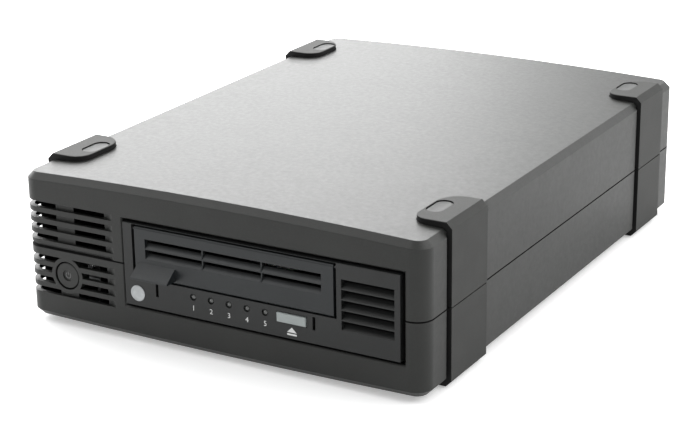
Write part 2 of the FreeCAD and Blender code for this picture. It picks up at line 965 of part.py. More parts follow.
def coil_spring(label, across, start, end, height, radius, wire):
    """A compression spring along Y: a round wire swept round a helix."""
    helix = DOC.addObject("Part::Helix", label + "_path")
    run = size(end) - start - wire * 2
    bind(helix, "Radius", radius)
    bind(helix, "Height", run)
    bind(helix, "Pitch", run / SPRING_TURNS)
    section = DOC.addObject("Part::Circle", label + "_wire")
    bind(section, "Radius", wire)
    section.Placement = FreeCAD.Placement(FreeCAD.Vector(), TURNS["Y"].inverted())
    place(section, radius, 0, 0)
    sweep = DOC.addObject("Part::Sweep", label)
    sweep.Sections = [section]
    sweep.Spine = (helix, [])
    sweep.Solid = True
    sweep.Frenet = True
    sweep.Placement = FreeCAD.Placement(FreeCAD.Vector(), TURNS["Y"])
    place(sweep, across, size(start) + wire, height)
    return keep(label, sweep)


def power_switch():
    """The mains switch behind the button, its plunger hole, and the bracket that carries it."""
    half = S.power_radius
    rear = POWER_SWITCH_FACE + S.switch_length
    body = block("switch_case", POWER_X - half, POWER_X + half, POWER_SWITCH_FACE, rear,
                 POWER_Z - half, POWER_Z + half)
    hole = rod("switch_hole", "Y", POWER_SWITCH_FACE, POWER_SWITCH_FACE + S.power_travel + 1,
               POWER_X, POWER_Z, S.power_stem + S.door_gap)
    keep("power_switch", less("power_switch", body, hole))
    bench = block("bench", POWER_X - half, POWER_X + half, POWER_SWITCH_FACE, rear,
                  up(S.case_wall), POWER_Z - half)
    wall = S.bench_wall
    slot = block("bench_slot", POWER_X - half + wall, POWER_X + half - wall, POWER_SWITCH_FACE - 1, rear + 1,
                 up(S.case_wall) + wall, POWER_Z - half - wall)
    keep("switch_bracket", less("switch_bracket", bench, slot))


# ---------------------------------------------------------------- rear panel, fan and sockets

PANEL_FACE = BACK - S.case_wall
PANEL_FRONT = PANEL_FACE - S.panel_thickness
FAN_HALF = S.fan_size / 2
FAN_Z = up(S.rear_opening_low) + S.fan_sill + FAN_HALF
FAN_FRONT = PANEL_FRONT - S.fan_depth
FAN_HOLE = FAN_HALF - S.fan_hole_inset
FAN_HOLES = [(S.fan_x + side * FAN_HOLE, FAN_Z + level * FAN_HOLE) for side in (-1, 1) for level in (-1, 1)]
DATA_LEVELS = [up(S.data_low), up(S.data_low) + S.data_pitch]
INLET_Z = up(S.inlet_height)
INLET_PINS = [(-7.0, 2.0), (7.0, 2.0), (0.0, -2.0)]
GUARD_SHARES = (0.76, 0.52, 0.28)
SPOKE_LAP = 0.7


def rear_panel():
    body = new_body("rear_panel")
    left, right = -S.rear_opening_half - S.panel_overlap, S.rear_opening_half + S.panel_overlap
    low, high = up(S.rear_opening_low) - S.panel_overlap, up(S.rear_opening_high) + S.panel_overlap
    pad(body, "XZ", PANEL_FRONT, PANEL_FACE, lambda d: d.rectangle(left, low, right, high))
    through = (PANEL_FRONT - 1, PANEL_FACE + 1)
    pocket(body, "XZ", *through, lambda d: d.circle(S.fan_x, FAN_Z, S.fan_bore))
    wide, tall = S.inlet_width / 2, S.inlet_tall / 2
    pocket(body, "XZ", *through, lambda d: d.rectangle(
        S.inlet_x - wide, INLET_Z - tall, S.inlet_x + wide, INLET_Z + tall))
    for level in DATA_LEVELS:
        pocket(body, "XZ", *through, lambda d: d.rectangle(
            S.data_x - S.data_width / 2, level - S.data_tall / 2,
            S.data_x + S.data_width / 2, level + S.data_tall / 2))
    for across, level in FAN_HOLES:
        pocket(body, "XZ", *through, lambda d: d.circle(across, level, S.screw_radius))
    edge = S.rear_opening_half - S.panel_vent_inset
    sill = up(S.rear_opening_low) + S.panel_vent_sill
    cut = pocket(body, "XZ", *through, lambda d: d.rounded(
        edge - S.panel_vent_width, sill, edge, sill + S.panel_vent_tall, S.panel_vent_radius))
    row(body, [cut], "Z_Axis", S.panel_vent_pitch * 6, 7)
    return keep("rear_panel", body)


def fan_frame():
    """A square duct with a motor hub on three struts, open to the panel behind it."""
    body = new_body("fan_frame")
    left, right = S.fan_x - FAN_HALF, S.fan_x + FAN_HALF
    pad(body, "XZ", FAN_FRONT, PANEL_FRONT, lambda d: d.rounded(
        left, FAN_Z - FAN_HALF, right, FAN_Z + FAN_HALF, S.fan_corner))
    pocket(body, "XZ", FAN_FRONT - 1, PANEL_FRONT + 1, lambda d: d.circle(S.fan_x, FAN_Z, S.fan_bore))
    for across, level in FAN_HOLES:
        pocket(body, "XZ", FAN_FRONT - 1, PANEL_FRONT + 1, lambda d: d.circle(across, level, S.screw_radius))
    strut, reach = S.fan_strut, S.fan_bore + 1
    hub_front = PANEL_FRONT - S.fan_hub_depth
    pad(body, "XZ", hub_front, PANEL_FRONT, lambda d: d.circle(S.fan_x, FAN_Z, S.fan_hub))
    pad(body, "XZ", hub_front, PANEL_FRONT, lambda d: d.rectangle(
        S.fan_x - reach, FAN_Z - strut, S.fan_x + reach, FAN_Z + strut))
    pad(body, "XZ", hub_front, PANEL_FRONT, lambda d: d.rectangle(
        S.fan_x - strut, FAN_Z - reach, S.fan_x + strut, FAN_Z + reach))
    bore = S.shaft_radius + S.shaft_fit
    pocket(body, "XZ", hub_front - 1, PANEL_FRONT + 1, lambda d: d.circle(S.fan_x, FAN_Z, bore))
    return keep("fan_frame", body)


def fan_rotor():
    """A hub with seven twisted blades and the shaft that runs in the frame's hub."""
    body = new_body("fan_rotor")
    start = FAN_FRONT + 1
    end = PANEL_FRONT - S.fan_hub_depth - S.fan_gap
    pad(body, "XZ", start, end, lambda d: d.circle(0, 0, S.fan_hub))
    pad(body, "XZ", start, PANEL_FRONT - S.fan_shaft_short, lambda d: d.circle(0, 0, S.shaft_radius))
    tip = S.fan_bore - S.fan_gap
    mid = (start + end) / 2
    half = S.blade_thickness / 2
    blade = body.newObject("PartDesign::AdditiveLoft", "Blade")
    sections = []
    for reach, lean in ((S.fan_hub - 1, S.blade_root_lean), (tip, S.blade_tip_lean)):
        drawing = Drawing(body, "YZ", reach)
        drawing.polygon(
            (start + 1, -half - lean), (start + 1, half - lean), (mid, half + S.blade_bend),
            (end - 1, lean + half), (end - 1, lean - half), (mid, -half + S.blade_bend),
        )
        sections.append(drawing.sketch)
    blade.Profile = sections[0]
    blade.Sections = sections[1:]
    ring(body, [blade], "Y_Axis", 7)
    place(body, S.fan_x, 0, FAN_Z)
    return keep("fan_rotor", body)


def fan_guard():
    """Wire rings on four spokes, in front of the panel's opening."""
    wire = S.guard_wire
    depth = PANEL_FACE + wire
    pieces = []
    for reach in (S.fan_bore + 1, *[S.fan_bore * share for share in GUARD_SHARES]):
        torus = DOC.addObject("Part::Torus", "guard_ring")
        bind(torus, "Radius1", reach)
        bind(torus, "Radius2", wire)
        torus.Placement = FreeCAD.Placement(FreeCAD.Vector(), TURNS["Y"])
        place(torus, S.fan_x, depth, FAN_Z)
        pieces.append(torus)
    reach = S.fan_bore + 1
    behind = depth + wire * SPOKE_LAP
    pieces.append(rod("spoke", "X", S.fan_x - reach, S.fan_x + reach, behind, FAN_Z, wire))
    pieces.append(rod("spoke", "Z", FAN_Z - reach, FAN_Z + reach, S.fan_x, behind, wire))
    return keep("fan_guard", joined("fan_guard", *pieces))


def fan_screws():
    screws = []
    for across, level in FAN_HOLES:
        head = rod("screw_head", "Y", PANEL_FACE, PANEL_FACE + S.fan_screw_head, across, level, S.screw_head)
        shank = rod("screw_shank", "Y", PANEL_FACE - S.fan_screw_length, PANEL_FACE, across, level,
                    S.screw_radius)
        screws.append(joined("screw", head, shank))
    return keep("fan_screws", group("fan_screws", *screws))


def mains_inlet():
    """A socket with three flat pins and a flange outside the panel."""
    body = new_body("mains_inlet")
    wide, tall = S.inlet_width / 2, S.inlet_tall / 2
    x, z, wall = S.inlet_x, INLET_Z, S.inlet_wall
    front = PANEL_FACE - S.inlet_depth
    pad(body, "XZ", front, PANEL_FACE, lambda d: d.rectangle(x - wide, z - tall, x + wide, z + tall))
    face = PANEL_FACE + S.socket_flange
    rim_x, rim_z = wide + S.inlet_flange_side, tall + S.inlet_flange_end
    pad(body, "XZ", PANEL_FACE, face, lambda d: d.rounded(
        x - rim_x, z - rim_z, x + rim_x, z + rim_z, S.inlet_flange_radius))
    well_x, well_z, corner = wide - wall, tall - wall, S.inlet_corner
    floor = front + S.inlet_floor
    pocket(body, "XZ", floor, face + 1, lambda d: d.polygon(
        (x - well_x + corner, z - well_z), (x + well_x - corner, z - well_z),
        (x + well_x, z - well_z + corner), (x + well_x, z + well_z),
        (x - well_x, z + well_z), (x - well_x, z - well_z + corner)))
    half_x, half_z = S.inlet_pin_half_width, S.inlet_pin_half_height
    for across, level in INLET_PINS:
        pad(body, "XZ", floor - 1, PANEL_FACE - S.inlet_pin_short, lambda d: d.rectangle(
            x + across - half_x, z + level - half_z, x + across + half_x, z + level + half_z))
    return keep("mains_inlet", body)


def data_socket(label, level):
    """A shielded socket with a contact tongue in the middle."""
    body = new_body(label)
    wide, tall, wall = S.data_width / 2, S.data_tall / 2, S.data_wall
    x, front = S.data_x, PANEL_FACE - S.data_depth
    rear = PANEL_FACE + S.socket_flange
    pad(body, "XZ", front, rear, lambda d: d.rectangle(x - wide, level - tall, x + wide, level + tall))
    well_x, well_z = wide - wall, tall - wall
    low_x, tongue_x = well_x - S.data_slant, well_x - S.tongue_inset
    floor = front + S.data_floor
    pocket(body, "XZ", floor, rear + 1, lambda d: d.polygon(
        (x - low_x, level - well_z), (x + low_x, level - well_z),
        (x + well_x, level + well_z), (x - well_x, level + well_z)))
    pad(body, "XZ", floor - 1, rear - S.tongue_short, lambda d: d.rectangle(
        x - tongue_x, level - S.tongue_half, x + tongue_x, level + S.tongue_half))
    return keep(label, body)


def interface_board():
    """The upright board that both data sockets are soldered to, with its ribbon."""
    rear = PANEL_FACE - S.data_depth
    low = up(S.case_wall) + 2
    board = block("interface_board", S.data_x - S.data_width / 2 - 3, S.data_x + S.data_width / 2 + 3,
                  rear - S.board_thickness, rear, low, DATA_LEVELS[1] + S.data_tall)
    keep("interface_board", board)
    posts = [rod("board_foot", "Z", up(S.case_wall), low, S.data_x + side * S.interface_foot_x,
                 rear - S.board_thickness / 2, S.interface_foot_radius) for side in (-1, 1)]
    STANDOFFS.extend(posts)


# ---------------------------------------------------------------- the drive unit's shell

TRAY_LEFT = DRIVE_LEFT + S.tray_inset
TRAY_RIGHT = DRIVE_RIGHT - S.tray_inset
TRAY_LOW = DRIVE_LOW + S.tray_inset
TRAY_TOP = DRIVE_TOP - S.lid_inset
TRAY_FLOOR = TRAY_LOW + S.tray_sheet
TRAY_REAR = BEZEL_BACK + S.tray_length
LID_CORNERS = [
    (across, along)
    for along in (BEZEL_BACK + S.lug_front, TRAY_REAR - S.lug_rear)
    for across in (TRAY_LEFT + S.lug_inset, TRAY_RIGHT - S.lug_inset)
]
PORT_LEFT, PORT_RIGHT = S.data_x - S.port_half, S.data_x + S.port_half
PORT_LOW = TRAY_FLOOR + S.port_sill
PORT_FACE = TRAY_REAR + S.port_wall


def drive_tray():
    """A sheet-metal tray, open at the front and the top, with a window for the rear socket."""
    outer = block("tray_outside", TRAY_LEFT, TRAY_RIGHT, BEZEL_BACK, TRAY_REAR, TRAY_LOW,
                  TRAY_TOP - S.tray_sheet)
    inner = block("tray_inside", TRAY_LEFT + S.tray_sheet, TRAY_RIGHT - S.tray_sheet, BEZEL_BACK - 1,
                  TRAY_REAR - S.tray_sheet, TRAY_FLOOR, TRAY_TOP + 1)
    window = block("tray_window", PORT_LEFT, PORT_RIGHT, TRAY_REAR - S.tray_sheet - 1, TRAY_REAR + 1,
                   PORT_LOW, PORT_LOW + S.port_tall)
    lugs = []
    for across, along in LID_CORNERS:
        side = -1 if across.number < S.drive_centre.number else 1
        wall = TRAY_LEFT + S.tray_sheet / 2 if side < 0 else TRAY_RIGHT - S.tray_sheet / 2
        near, far = ordered(wall, across - side * (S.screw_radius + S.lug_wall))
        face = TRAY_TOP - S.tray_sheet
        lug = block("lug", near, far, along - S.lug_half, along + S.lug_half, face - S.lug_depth, face)
        bore = rod("lug_bore", "Z", TRAY_TOP - S.lid_screw_length, TRAY_TOP, across, along, S.screw_radius)
        lugs.append(less("lug", lug, bore))
    keep("drive_tray", joined("drive_tray", less("tray_sheet", outer, inner, window), *lugs))
    wall = S.port_wall
    plug = block("port_case", PORT_LEFT, PORT_RIGHT, TRAY_REAR - wall * 4, PORT_FACE,
                 PORT_LOW, PORT_LOW + S.port_tall)
    well = block("port_well", PORT_LEFT + wall, PORT_RIGHT - wall, TRAY_REAR - wall * 2,
                 PORT_FACE + 1, PORT_LOW + wall, PORT_LOW + S.port_tall - wall)
    keep("drive_port", less("drive_port", plug, well))


def drive_lid():
    """A flat lid with a raised panel pressed into it, held by screws into corner lugs."""
    body = new_body("drive_lid")
    low = TRAY_TOP - S.tray_sheet
    pad(body, "XY", low, TRAY_TOP, lambda d: d.rectangle(TRAY_LEFT, BEZEL_BACK, TRAY_RIGHT, TRAY_REAR))
    pocket(body, "XY", low - 1, low + S.tray_sheet / 2, lambda d: d.rounded(
        TRAY_LEFT + S.lid_press_side, BEZEL_BACK + S.lid_press_front,
        TRAY_RIGHT - S.lid_press_side, TRAY_REAR - S.lid_press_rear, S.lid_press_radius))
    for across, along in LID_CORNERS:
        pocket(body, "XY", low - 1, TRAY_TOP + 1, lambda d: d.circle(across, along, S.screw_radius))
    keep("drive_lid", body)
    screws = []
    for across, along in LID_CORNERS:
        head = rod("screw_head", "Z", TRAY_TOP, TRAY_TOP + S.lid_screw_head, across, along, S.screw_head)
        shank = rod("screw_shank", "Z", TRAY_TOP - S.lid_screw_length, TRAY_TOP, across, along, S.screw_radius)
        screws.append(joined("screw", head, shank))
    keep("lid_screws", group("lid_screws", *screws))


def drive_rails():
    """Two angle rails that carry the tray above the case's floor."""
    low, sheet = up(S.case_wall), S.tray_sheet * 1.5
    front, rear = BEZEL_BACK + S.rail_front, TRAY_REAR - S.rail_rear
    rails = []
    for side, face in ((-1, TRAY_LEFT), (1, TRAY_RIGHT)):
        outer = face + sheet * side
        inner = face - S.rail_width * side
        near, far = ordered(face, outer)
        web = block("web", near, far, front, rear, low, TRAY_LOW + S.rail_wall)
        near, far = ordered(inner, outer)
        foot = block("foot", near, far, front, rear, low, low + sheet)
        seat = block("seat", near, far, front, rear, TRAY_LOW - sheet, TRAY_LOW)
        rails.append(joined("rail", web, foot, seat))
    keep("drive_rails", group("drive_rails", *rails))


# ---------------------------------------------------------------- the drive's front

DOOR_LEFT, DOOR_RIGHT = S.door_left, S.door_right
DOOR_LOW, DOOR_HIGH = up(S.door_low), up(S.door_high)
DOOR_ROUND = S.door_thickness / 2
HINGE_Y = BEZEL_FACE + DOOR_ROUND
HINGE_Z = DOOR_HIGH - DOOR_ROUND
LAMP_XS = [S.lamp_first + S.lamp_pitch * index for index in range(5)]
LAMP_Z = up(S.lamp_height)
BADGE = (S.badge_x, up(S.badge_height))


def louvre(drawing, face, top, opening, slope, depth):
    """Section of a slot with a sloping sill, cut back from a front face."""
    drawing.polygon(
        (face - 1, top - opening - slope), (face, top - opening - slope),
        (face + depth, top - opening), (face + depth, top), (face - 1, top),
    )


def drive_bezel():
    """The moulded front: a slot for the cartridge, a grille, lamp holes and a button hole."""
    body = new_body("drive_bezel")
    through = (BEZEL_FACE - 1, BEZEL_BACK + 1)
    pad(body, "XZ", BEZEL_FACE, BEZEL_BACK, lambda d: d.rectangle(
        DRIVE_LEFT, DRIVE_LOW, DRIVE_RIGHT, DRIVE_TOP))
    round_edges(body, S.badge_proud, lambda edge, middle: middle.y < BEZEL_FACE.number + NEAR)
    beside = S.door_side_gap
    pocket(body, "XZ", *through, lambda d: d.rectangle(
        DOOR_LEFT - beside, DOOR_LOW - S.door_gap, DOOR_RIGHT + beside, DOOR_HIGH + S.door_top_gap))
    cut = pocket(body, "YZ", S.grille_left, S.grille_right, lambda d: louvre(
        d, BEZEL_FACE, up(S.grille_top), S.grille_open, S.grille_slope, S.grille_depth))
    slot = pocket(body, "XZ", *through, lambda d: d.rectangle(
        S.grille_left, up(S.grille_top) - S.grille_open, S.grille_right, up(S.grille_top)))
    row(body, [cut, slot], "Z_Axis", S.grille_pitch * -4, 5)
    first = pocket(body, "XZ", *through, lambda d: d.circle(S.lamp_first, LAMP_Z, S.lens_radius))
    sink = pocket(body, "XZ", BEZEL_FACE - 1, BEZEL_FACE + S.badge_proud * 2, lambda d: d.circle(
        S.lamp_first, LAMP_Z, S.lamp_radius))
    row(body, [first, sink], "X_Axis", S.lamp_pitch * 4, 5)
    for middle in (S.notch_left_x, S.notch_right_x):
        pocket(body, "XZ", *through, lambda d: d.rectangle(
            middle - S.notch_width / 2, up(S.notch_low), middle + S.notch_width / 2, up(S.notch_high)))
    pocket(body, "XZ", *through, lambda d: d.rectangle(
        S.eject_left - S.eject_gap, up(S.eject_low) - S.eject_gap,
        S.eject_right + S.eject_gap, up(S.eject_high) + S.eject_gap))
    depth = S.badge_thickness - S.badge_proud
    pocket(body, "XZ", BEZEL_FACE - 1, BEZEL_FACE + depth, lambda d: d.circle(*BADGE, S.badge_radius))
    pocket(body, "YZ", DOOR_LEFT - beside - S.door_pin_grip, DOOR_RIGHT + beside + S.door_pin_grip,
           lambda d: d.circle(HINGE_Y, HINGE_Z, S.door_pin))
    return keep("drive_bezel", body)


def cartridge_door():
    """A flap hung from its top edge, with two slotted windows and a finger wedge at its left."""
    body = new_body("cartridge_door")
    face, rear = BEZEL_FACE, BEZEL_FACE + S.door_thickness
    pad(body, "YZ", DOOR_LEFT, DOOR_RIGHT, lambda d: d.polygon(
        (face, DOOR_LOW), (rear, DOOR_LOW), (rear, HINGE_Z, DOOR_ROUND), (HINGE_Y, DOOR_HIGH, DOOR_ROUND),
        (face, HINGE_Z)))
    cuts = []
    bevel_edges(body, S.door_bevel, lambda edge, middle: middle.z < DOOR_LOW.number + NEAR
                and middle.y < face.number + NEAR)
    piers = (S.slit_right - S.slit_left - S.slit_bridge * 2) / 3
    for index in range(3):
        left = S.slit_left + (piers + S.slit_bridge) * index
        cuts.append(pocket(body, "YZ", left, left + piers, lambda d: louvre(
            d, face, up(S.slit_top), S.slit_open, S.slit_slope, S.slit_depth)))
        cuts.append(pocket(body, "XZ", face - 1, rear + 1, lambda d, a=left: d.rectangle(
            a, up(S.slit_top) - S.slit_through, a + piers, up(S.slit_top))))
    cuts.append(pocket(body, "YZ", S.slit_left, S.slit_right, lambda d: louvre(
        d, face, up(S.slit_top), S.slit_open, S.slit_slope, S.slit_bridge_back)))
    row(body, cuts, "Z_Axis", -S.slit_pitch, 2)
    tip = face - S.wedge_reach
    low = up(S.wedge_low)
    pad(body, "YZ", S.wedge_left, S.wedge_right, lambda d: d.polygon(
        (tip, low), (face + 0.5, low), (face + 0.5, up(S.wedge_top)), (face, up(S.wedge_top)),
        (tip, low + S.wedge_tip)))
    pin = S.door_pin + S.door_pin_fit
    deep = S.door_pin_length - S.door_pin_grip + 0.5
    for start, end in ((DOOR_LEFT - 1, DOOR_LEFT + deep), (DOOR_RIGHT - deep, DOOR_RIGHT + 1)):
        pocket(body, "YZ", start, end, lambda d: d.circle(HINGE_Y, HINGE_Z, pin))
    return keep("cartridge_door", body)


def door_pins():
    """Two short pins pressed into the bezel, on which the door turns."""
    beyond, reach = S.door_side_gap + S.door_pin_grip, S.door_pin_length
    left = DOOR_LEFT - beyond
    right = DOOR_RIGHT + beyond
    pins = [rod("pin", "X", left, left + reach, HINGE_Y, HINGE_Z, S.door_pin),
            rod("pin", "X", right - reach, right, HINGE_Y, HINGE_Z, S.door_pin)]
    return keep("door_pins", group("door_pins", *pins))


def badge():
    body = new_body("badge_disc")
    face = BEZEL_FACE - S.badge_proud
    pad(body, "XZ", face, face + S.badge_thickness, lambda d: d.circle(*BADGE, S.badge_radius))
    round_edges(body, S.badge_proud / 2, lambda edge, middle: middle.y < face.number + NEAR)
    return keep("badge_disc", body)


FRONT_BOARD_FACE = BEZEL_BACK + S.front_board_gap


def lamps():
    """Five light pipes from the front board to the bezel's face."""
    pipes = [rod("light_pipe", "Y", BEZEL_FACE + S.badge_proud, FRONT_BOARD_FACE, across, LAMP_Z, S.lens_radius)
             for across in LAMP_XS]
    return keep("lamp_lenses", group("lamp_lenses", *pipes))


def eject_button():
    body = new_body("eject_button")
    face = BEZEL_FACE - S.eject_proud
    collar, lap = BEZEL_BACK + S.collar_gap, S.eject_collar
    low, high = up(S.eject_low), up(S.eject_high)
    middle = ((S.eject_left + S.eject_right) / 2, (low + high) / 2)
    pad(body, "XZ", face, collar, lambda d: d.rectangle(S.eject_left, low, S.eject_right, high))
    round_edges(body, S.badge_proud, lambda edge, point: point.y < face.number + NEAR)
    pad(body, "XZ", collar, collar + lap, lambda d: d.rectangle(
        S.eject_left - lap, low - lap, S.eject_right + lap, high + lap))
    pad(body, "XZ", collar + lap / 2, EJECT_SWITCH_FACE + S.stem_lap, lambda d: d.circle(
        *middle, S.eject_stem))
    return keep("eject_button", body)


EJECT_SWITCH_FACE = FRONT_BOARD_FACE - 1


def front_board():
    """The small upright board behind the bezel, with the eject switch on its face."""
    low, high = TRAY_FLOOR, up(S.notch_high) + 2
    board = block("front_board", S.lamp_first - 8, S.eject_right + 6, FRONT_BOARD_FACE,
                  FRONT_BOARD_FACE + S.board_thickness, low, high)
    x = (S.eject_left + S.eject_right) / 2
    z = (up(S.eject_low) + up(S.eject_high)) / 2
    wide, tall = S.eject_switch_half, S.eject_switch_tall
    case = block("eject_switch_case", x - wide, x + wide, EJECT_SWITCH_FACE, FRONT_BOARD_FACE + tall,
                 z - tall, z + tall)
    hole = rod("eject_switch_hole", "Y", EJECT_SWITCH_FACE - 1, EJECT_SWITCH_FACE + S.eject_travel + 1, x, z,
               S.eject_stem + S.collar_gap)
    cutout = block("board_cutout", x - wide, x + wide, FRONT_BOARD_FACE - 1,
                   FRONT_BOARD_FACE + S.board_thickness + 1, z - tall, z + tall)
    keep("front_board", less("front_board", board, cutout))
    keep("eject_switch", less("eject_switch", case, hole))


# ---------------------------------------------------------------- the tape mechanism

PLATE_LOW = up(S.plate_low)
PLATE_TOP = PLATE_LOW + S.plate_thickness
PLATE_FRONT = FRONT_BOARD_FACE + 6
PLATE_REAR = TRAY_REAR - 10
PLATE_LEFT = TRAY_LEFT + S.tray_sheet + 0.5
PLATE_RIGHT = TRAY_RIGHT - S.tray_sheet - 0.5
BAY_LEFT = S.cartridge_x - S.cartridge_width / 2
BAY_RIGHT = S.cartridge_x + S.cartridge_width / 2
BAY_LOW = up(S.cartridge_low)
CRADLE_FRONT = BEZEL_BACK + 5
CRADLE_REAR = BEZEL_BACK + S.cartridge_length
CHUCK = (S.cartridge_x, BEZEL_BACK + S.cartridge_length / 2)
REEL = (S.reel_x, back(S.reel_y))
PITCH_RADIUS = S.gear_module * S.gear_teeth / 2
PRESSURE_ANGLE = math.radians(20)
DEDENDUM = 1.25
RACK_LOW = BAY_LOW + 2
PINION = (BAY_RIGHT + S.cradle_sheet + S.gear_module * DEDENDUM + PITCH_RADIUS, CRADLE_REAR - 12)
# each chip's corner on the main board, its width and its depth
CHIPS = [
    (24, 20, 22, 22), (60, 26, 14, 20), (96, 18, 16, 16),
    (22, 80, 18, 12), (50, 120, 24, 14), (16, 130, 10, 18),
]


def mechanism_plate():
    """The plate that every tape part stands on, with its standoffs down to the tray."""
    body = new_body("mechanism_plate")
    pad(body, "XY", PLATE_LOW, PLATE_TOP, lambda d: d.rounded(
        PLATE_LEFT, PLATE_FRONT, PLATE_RIGHT, PLATE_REAR, 3.0))
    for across, along in (CHUCK, REEL):
        pocket(body, "XY", PLATE_LOW - 1, PLATE_TOP + 1, lambda d: d.circle(
            across, along, S.shaft_radius + S.shaft_fit))
    keep("mechanism_plate", body)
    feet = [rod("standoff", "Z", TRAY_FLOOR, PLATE_LOW, across, along, 3.0)
            for across in (PLATE_LEFT + 4, PLATE_RIGHT - 4) for along in (PLATE_FRONT + 6, PLATE_REAR - 6)]
    STANDOFFS.extend(feet)


def main_board():
    """The drive's main board with its chips, on short standoffs."""
    left, right = PLATE_LEFT + 10, PLATE_RIGHT - 10
    front, rear = PLATE_FRONT + 12, PLATE_REAR - 16
    low = up(S.board_low)
    top = low + S.board_thickness
    board = block("board", left, right, front, rear, low, top)
    hole_list = [rod("board_hole", "Z", low - 1, top + 1, across, along, S.shaft_radius + 4)
                 for across, along in (CHUCK, REEL)]
    keep("main_board", less("main_board", board, *hole_list))
    chips = []
    for across, along, wide, deep in CHIPS:
        chips.append(block("chip", left + across, left + across + wide, front + along,
                           front + along + deep, top, top + S.chip_height))
    keep("main_board_chips", group("main_board_chips", *chips))
    feet = [rod("board_foot", "Z", TRAY_FLOOR, low, across, along, 2.5)
            for across in (left + 5, right - 5) for along in (front + 5, rear - 5)]
    STANDOFFS.extend(feet)


def drive_motor(node, centre):
    """A flat motor can on the plate with a bearing bore."""
    can = rod("can", "Z", PLATE_TOP, PLATE_TOP + S.motor_height, *centre, S.motor_radius)
    bore = rod("bearing", "Z", PLATE_TOP - 1, PLATE_TOP + S.motor_height + 1, *centre,
               S.shaft_radius + S.shaft_fit)
    return keep(node, less(node, can, bore))


def reel_chuck():
    """The toothed disc that grips a cartridge's hub, on its shaft."""
    body = new_body("reel_chuck")
    low = PLATE_TOP + S.motor_height + S.rail_gap
    top = low + S.chuck_thickness
    pad(body, "XY", low, top, lambda d: d.circle(0, 0, S.chuck_radius))
    pad(body, "XY", PLATE_LOW, low, lambda d: d.circle(0, 0, S.shaft_radius))
    tooth = pad(body, "XY", top, top + 0.8, lambda d: d.rectangle(
        S.chuck_radius - 5, -0.7, S.chuck_radius - 1.5, 0.7))
    ring(body, [tooth], "Z_Axis", 24)
    place(body, CHUCK[0], CHUCK[1], 0)
    return keep("reel_chuck", body)


def take_up_reel():
    """Hub, two flanges with windows, and the shaft."""
    body = new_body("take_up_reel")
    low = PLATE_TOP + S.motor_height + S.rail_gap
    top = low + S.reel_tall
    pad(body, "XY", low, low + S.reel_flange, lambda d: d.circle(0, 0, S.reel_radius))
    pad(body, "XY", low, top, lambda d: d.circle(0, 0, S.reel_hub))
    pad(body, "XY", top - S.reel_flange, top, lambda d: d.circle(0, 0, S.reel_radius))
    pad(body, "XY", PLATE_LOW, low, lambda d: d.circle(0, 0, S.shaft_radius))
    middle = (S.reel_hub + S.reel_radius) / 2
    cut = pocket(body, "XY", top - S.reel_flange - 0.1, top + 1, lambda d: d.circle(
        middle, 0, (S.reel_radius - S.reel_hub) * 0.32))
    ring(body, [cut], "Z_Axis", 6)
    pocket(body, "XY", top - 4, top + 1, lambda d: d.circle(0, 0, S.reel_hub - 6))
    place(body, REEL[0], REEL[1], 0)
    return keep("take_up_reel", body)


ROLLER_SPOTS = [(-38.0, 129.0), (-32.5, 143.0), (-3.5, 143.0), (6.5, 131.0)]
ROLLER_LOW = BAY_LOW - 2


def guide_rollers():
    """Four flanged rollers on fixed posts beside the head."""
    posts = []
    for number, (across, depth) in enumerate(ROLLER_SPOTS, start=1):
        along = back(depth)
        body = new_body("guide_roller_%d" % number)
        low, top = ROLLER_LOW, ROLLER_LOW + S.roller_tall
        pad(body, "XY", low, top, lambda d: d.circle(0, 0, S.roller_radius))
        for level in (low, top - 1.2):
            pad(body, "XY", level, level + 1.2, lambda d: d.circle(0, 0, S.roller_flange))
        pocket(body, "XY", low - 1, top + 1, lambda d: d.circle(0, 0, S.roller_pin + S.shaft_fit))
        place(body, across, along, 0)
        keep(body.Name, body)
        seat = rod("seat", "Z", PLATE_TOP, low - S.rail_gap, across, along, S.roller_radius)
        pin = rod("pin", "Z", low - S.rail_gap, top + S.rail_gap, across, along, S.roller_pin)
        cap = rod("cap", "Z", top + S.rail_gap, top + S.rail_gap + 1, across, along, S.roller_pin + 1)
        posts.append(joined("roller_post", seat, pin, cap))
    return keep("roller_posts", group("roller_posts", *posts))


def head_parts():
    """The head on its carriage, which rides up and down two guide shafts past a magnet."""
    x, y = S.head_x, back(S.head_y)
    low = ROLLER_LOW
    travel = S.head_travel
    head = new_body("tape_head")
    pad(head, "XY", low, low + S.roller_tall, lambda d: d.polygon(
        (x - 5, y), (x + 5, y), (x + 6, y + 6), (x - 6, y + 6)))
    round_edges(head, 1.5, lambda edge, middle: vertical(edge) and middle.y < y.number + 0.1)
    keep("tape_head", head)
    base = y + 6
    body = block("carriage_block", x - 9, x + 9, base, base + 10, low + 1, low + S.roller_tall - 1)
    bores = [rod("carriage_bore", "Z", low, low + S.roller_tall, x + side * 5.5, base + 5,
                 S.roller_pin + S.shaft_fit) for side in (-1, 1)]
    keep("head_carriage", less("head_carriage", body, *bores))
    top = low + S.roller_tall + travel * 2 + 0.5
    shafts = [rod("shaft", "Z", PLATE_TOP, top, x + side * 5.5, base + 5, S.roller_pin) for side in (-1, 1)]
    keep("head_shafts", group("head_shafts", *shafts))
    yoke = block("yoke", x - 9, x + 9, base + 10.6, base + 18, PLATE_TOP, low + S.roller_tall)
    gap = block("yoke_gap", x - 6, x + 6, base + 12.5, base + 15.5, PLATE_TOP + 3, low + S.roller_tall + 1)
    keep("voice_coil_magnet", less("voice_coil_magnet", yoke, gap))


def tooth_flank(radius, base):
    """Angle that an involute has turned when it reaches a radius."""
    lift = math.sqrt(max((radius / base) ** 2 - 1, 0.0))
    return lift - math.atan(lift)


